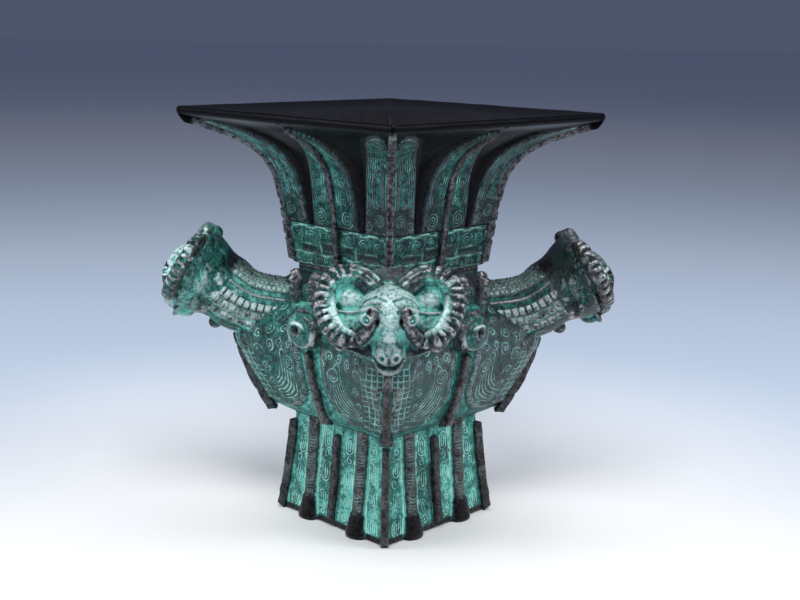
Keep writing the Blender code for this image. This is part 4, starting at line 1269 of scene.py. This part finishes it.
class Nodes:
    """A new material, with short calls for wiring its shader."""

    def __init__(self, name):
        self.material = bpy.data.materials.new(name)
        self.material.use_nodes = True
        self.tree = self.material.node_tree
        self.shader = self.tree.nodes["Principled BSDF"]
        self.place = self.node("TexCoord").outputs["Object"]

    def node(self, kind, *values, **settings):
        """A node with its settings, and with values or sockets plugged in, in their order."""
        node = self.tree.nodes.new("ShaderNode" + kind)
        for name, value in settings.items():
            setattr(node, name, value)
        for value, socket in zip(values, node.inputs):
            self.plug(value, socket)
        return node

    def plug(self, value, socket):
        if isinstance(value, bpy.types.NodeSocket):
            self.tree.links.new(value, socket)
        else:
            socket.default_value = value

    def math(self, operation, *values):
        return self.node("Math", *values, operation=operation).outputs[0]

    def vector(self, operation, *values):
        return self.node("VectorMath", *values, operation=operation).outputs["Value"]

    def sum(self, *terms):
        """The sum of some values, each given with its factor."""
        total = 0.0
        for value, factor in terms:
            total = self.math("MULTIPLY_ADD", value, factor, total)
        return total

    def times(self, first, *others):
        for other in others:
            first = self.math("MULTIPLY", first, other)
        return first

    def range(self, value, low, high, start=0.0, end=1.0):
        values = (value, low, high, start, end)
        return self.node("MapRange", *values, interpolation_type="SMOOTHSTEP").outputs[0]

    def mix(self, share, a, b):
        node = self.node("Mix", share, data_type="RGBA")
        for value, socket in ((a, node.inputs[6]), (b, node.inputs[7])):
            self.plug((*value, 1) if isinstance(value, tuple) else value, socket)
        return node.outputs[2]

    def split(self, name):
        """The three numbers of an attribute of the mesh."""
        attribute = self.node("Attribute", attribute_name=name)
        return self.node("SeparateXYZ", attribute.outputs["Vector"]).outputs

    def noise(self, size, detail=4.0, roughness=0.55):
        """Noise in blobs of the given size in millimetres."""
        node = self.node("TexNoise", self.place)
        node.inputs["Scale"].default_value = 1 / (size * METRES)
        node.inputs["Detail"].default_value = detail
        node.inputs["Roughness"].default_value = roughness
        return node.outputs["Fac"]


def drawn_lines(n, uneven):
    """Sharp engraved lines from the coordinates stored on the mesh: loops and spirals, and grids."""
    x, y, length = n.split("cell")
    mask, twist, _ = n.split("carved")
    over = n.math("MAXIMUM", n.math("SUBTRACT", n.math("ABSOLUTE", y), length), 0.0)
    beyond = n.math("MULTIPLY", n.math("SIGN", y), over)
    radius = n.math("SQRT", n.sum((n.times(x, x), 1.0), (n.times(beyond, beyond), 1.0)))
    turn = n.math("ARCTAN2", beyond, x)
    phase = n.math("ADD", radius, n.times(turn, twist, 1 / (2 * math.pi)))
    nearness = n.math("ABSOLUTE", n.math("SUBTRACT", n.math("FRACT", phase), 0.5))
    drawn = n.range(n.sum((nearness, 1.0), (uneven, 0.44)), 0.46, 0.33)
    loops = n.times(drawn, n.range(mask, 0.12, 0.7))
    u, v, mask = n.split("grid")
    crossing = 0.0
    for value in (u, v):
        gap = n.math("ABSOLUTE", n.math("SUBTRACT", n.math("FRACT", value), 0.5))
        drawn = n.range(n.sum((gap, 1.0), (uneven, 0.26)), 0.29, 0.19)
        crossing = n.math("MAXIMUM", drawn, crossing)
    return n.math("MAXIMUM", loops, n.times(crossing, n.range(mask, 0.12, 0.7)))


def bronze():
    """Dark bronze, green in its hollows, mint in its engraved lines and worn on its ridges."""
    n = Nodes("patinated_bronze")
    patina, wear, dark = n.split("paint")
    pale = n.split("carved")[2]
    fine, broad, _ = n.split("form")
    cloud, patch, speck, grain = n.noise(10.0), n.noise(3.0), n.noise(1.1, 5.0, 0.65), n.noise(0.4, 3.0)
    line = drawn_lines(n, speck)
    hollow = n.range(n.sum((fine, 1.0), (broad, 0.3)), 0.0, 0.18)
    ridge = n.range(n.sum((fine, -1.0), (broad, -0.15)), 0.015, 0.12)
    light = n.math("SUBTRACT", 1.0, dark)

    # painted light: greener, and chalkier with more painted highlights, towards the camera's left
    side = n.vector("DOT_PRODUCT", n.place, (-3.2, -3.2, 0.0))
    amount = n.sum((patina, 1.0), (hollow, 0.45), (ridge, -0.35), (cloud, 0.8), (patch, 1.3),
                   (speck, 2.0), (dark, -1.0))
    amount = n.math("ADD", amount, n.math("SUBTRACT", side, 2.0))
    green = n.range(amount, 0.15, 0.55)
    spots = n.range(n.sum((speck, 0.7), (patch, 0.3)), 0.36, 0.64)
    brown = n.mix(spots, (0.030, 0.026, 0.028), (0.084, 0.074, 0.077))
    grey = n.mix(spots, (0.020, 0.030, 0.034), (0.090, 0.120, 0.128))
    metal = n.mix(n.range(amount, -0.45, 0.05), brown, grey)
    metal = n.mix(n.times(dark, 0.95), metal, (0.003, 0.003, 0.004))
    film = n.mix(n.range(amount, 0.30, 0.85), (0.010, 0.042, 0.038), (0.034, 0.160, 0.138))
    film = n.mix(n.range(amount, 0.80, 1.45), film, (0.175, 0.570, 0.490))
    colour = n.mix(green, metal, film)
    uneven = n.range(n.sum((patch, 0.5), (speck, 0.5)), 0.36, 0.56, 0.25, 1.0)
    mint = n.times(line, uneven, light)
    mint_colour = n.mix(n.range(amount, 0.55, 1.15), (0.230, 0.430, 0.395), (0.400, 0.820, 0.700))
    colour = n.mix(mint, colour, mint_colour)
    # pale chalk, which also carries the painted highlights, stronger towards the camera's left
    powder = n.sum((ridge, 0.45), (speck, 1.6), (patch, 0.9), (hollow, -0.60))
    chalk_and_highlight = n.times(pale, n.range(powder, 0.80, 1.65, 0.0, 1.3), n.sum((side, 2.2), (1.0, 1.0)))
    colour = n.mix(chalk_and_highlight, colour, (0.620, 0.840, 0.820))
    rubbed = n.range(n.sum((speck, 0.7), (patch, 0.5)), 0.50, 0.70)
    worn = n.times(ridge, wear, rubbed, light)
    colour = n.mix(worn, colour, (0.480, 0.470, 0.480))
    n.plug(colour, n.shader.inputs["Base Color"])

    covered = n.math("MAXIMUM", n.math("MAXIMUM", green, mint), chalk_and_highlight)
    rough = n.sum((covered, 0.16), (speck, 0.30), (dark, 0.04))
    n.plug(n.math("ADD", rough, 0.16), n.shader.inputs["Roughness"])
    metallic = n.sum((worn, 0.6), (covered, -0.25), (dark, 0.60), (0.25, 1.0))
    n.plug(n.math("MINIMUM", n.math("MAXIMUM", metallic, 0.0), 0.95), n.shader.inputs["Metallic"])
    n.shader.inputs["Specular IOR Level"].default_value = 0.14
    height = n.sum((patch, 0.5), (speck, 0.8), (grain, 0.3), (line, -0.8))
    bump = n.node("Bump")
    bump.inputs["Strength"].default_value = 0.7
    bump.inputs["Distance"].default_value = 0.3 * METRES
    n.plug(n.times(height, n.range(dark, 1.0, 0.6, 0.06, 1.0)), bump.inputs["Height"])
    n.plug(bump.outputs[0], n.shader.inputs["Normal"])
    return n.material


# Studio. The camera's place, round the piece and above it, is fitted to the photograph

AZIMUTH = math.radians(44.54)
ELEVATION = math.radians(12.76)


def toward_camera(right, back, up):
    """A place in metres, by how far right of, towards and above the piece the camera sees it."""
    ahead = Vector((math.sin(AZIMUTH), -math.cos(AZIMUTH), 0))
    beside = Vector((math.cos(AZIMUTH), math.sin(AZIMUTH), 0))
    return beside * right + ahead * back + Vector((0, 0, up))


def paper():
    """White paper that darkens to a blue grey away from the piece, a graduated tint that also paints in
    the falloff of the light as shade, and pales again far off.
    """
    n = Nodes("studio_paper")
    reach = n.vector("DISTANCE", n.place, toward_camera(0, 0.07, 0))
    colour = n.mix(n.range(reach, 0.06, 0.36), (0.92, 0.91, 0.90), (0.50, 0.58, 0.69))
    n.plug(n.mix(n.range(reach, 0.8, 2.2), colour, (0.90, 0.93, 0.95)), n.shader.inputs["Base Color"])
    n.shader.inputs["Roughness"].default_value = 0.9
    n.shader.inputs["Specular IOR Level"].default_value = 0.2
    return n.material


def floor():
    """A pale sheet, wide enough to meet the sky at the horizon."""
    bpy.ops.mesh.primitive_circle_add(vertices=64, radius=15.0, fill_type="NGON", location=(0, 0, 0))
    sheet = bpy.context.object
    sheet.name = "studio_floor"
    sheet.data.materials.append(paper())


def soft_light(name, place, size, power, colour):
    data = bpy.data.lights.new(name, "AREA")
    data.shape = "RECTANGLE"
    data.size, data.size_y = size
    data.energy = power
    data.color = colour
    lamp = bpy.data.objects.new(name, data)
    bpy.context.scene.collection.objects.link(lamp)
    lamp.location = place
    lamp.rotation_euler = (Vector(place) - Vector((0, 0, 0.08))).to_track_quat("Z", "Y").to_euler()


def studio():
    floor()
    for name, place, size, power, colour in (
            ("key", (-0.05, 0.55, 0.95), (0.70, 0.45), 8.4, (1.0, 0.99, 0.97)),
            ("left", (-0.80, 0.15, 0.45), (0.4, 0.5), 3.4, (0.93, 0.97, 1.0)),
            ("right", (0.80, 0.20, 0.50), (0.4, 0.5), 4.6, (0.93, 0.97, 1.0)),
            ("top", (0.0, -0.35, 1.1), (0.8, 0.4), 3.4, (0.96, 0.98, 1.0))):
        soft_light(name, toward_camera(*place), size, power, colour)
    world = bpy.data.worlds.new("studio")
    world.use_nodes = True
    sky = world.node_tree.nodes["Background"]
    sky.inputs["Color"].default_value = (0.076, 0.090, 0.148, 1)
    sky.inputs["Strength"].default_value = 1.0
    bpy.context.scene.world = world
    bpy.context.scene.view_settings.view_transform = "Standard"


def camera():
    level = math.cos(ELEVATION)
    back = Vector((math.sin(AZIMUTH) * level, -math.cos(AZIMUTH) * level, math.sin(ELEVATION)))
    data = bpy.data.cameras.new("camera")
    data.lens = 56.8
    data.clip_start = 0.01
    data.shift_x, data.shift_y = 0.0155, 0.0193
    item = bpy.data.objects.new("camera", data)
    bpy.context.scene.collection.objects.link(item)
    item.location = Vector((0, 0, 0.075)) + back * 0.4641
    turn = back.to_track_quat("Z", "Y") @ Quaternion((0, 0, 1), math.radians(1.02))
    item.rotation_euler = turn.to_euler()
    bpy.context.scene.camera = item


def main():
    material = bronze()
    make_object("neck_and_rim", joined([neck_shell(), *neck_flanges()]), material)
    make_object("body", joined([body_shell(), *body_flanges()]), material)
    make_object("foot", joined([foot_shell(), *foot_flanges()]), material)
    for number, shell in enumerate(on_corners(ram_shell())):
        make_object(f"ram_{number + 1}", shell, material)
    make_object("shoulder_beasts", joined(on_faces(beast_shell())), material)
    studio()
    camera()


main()
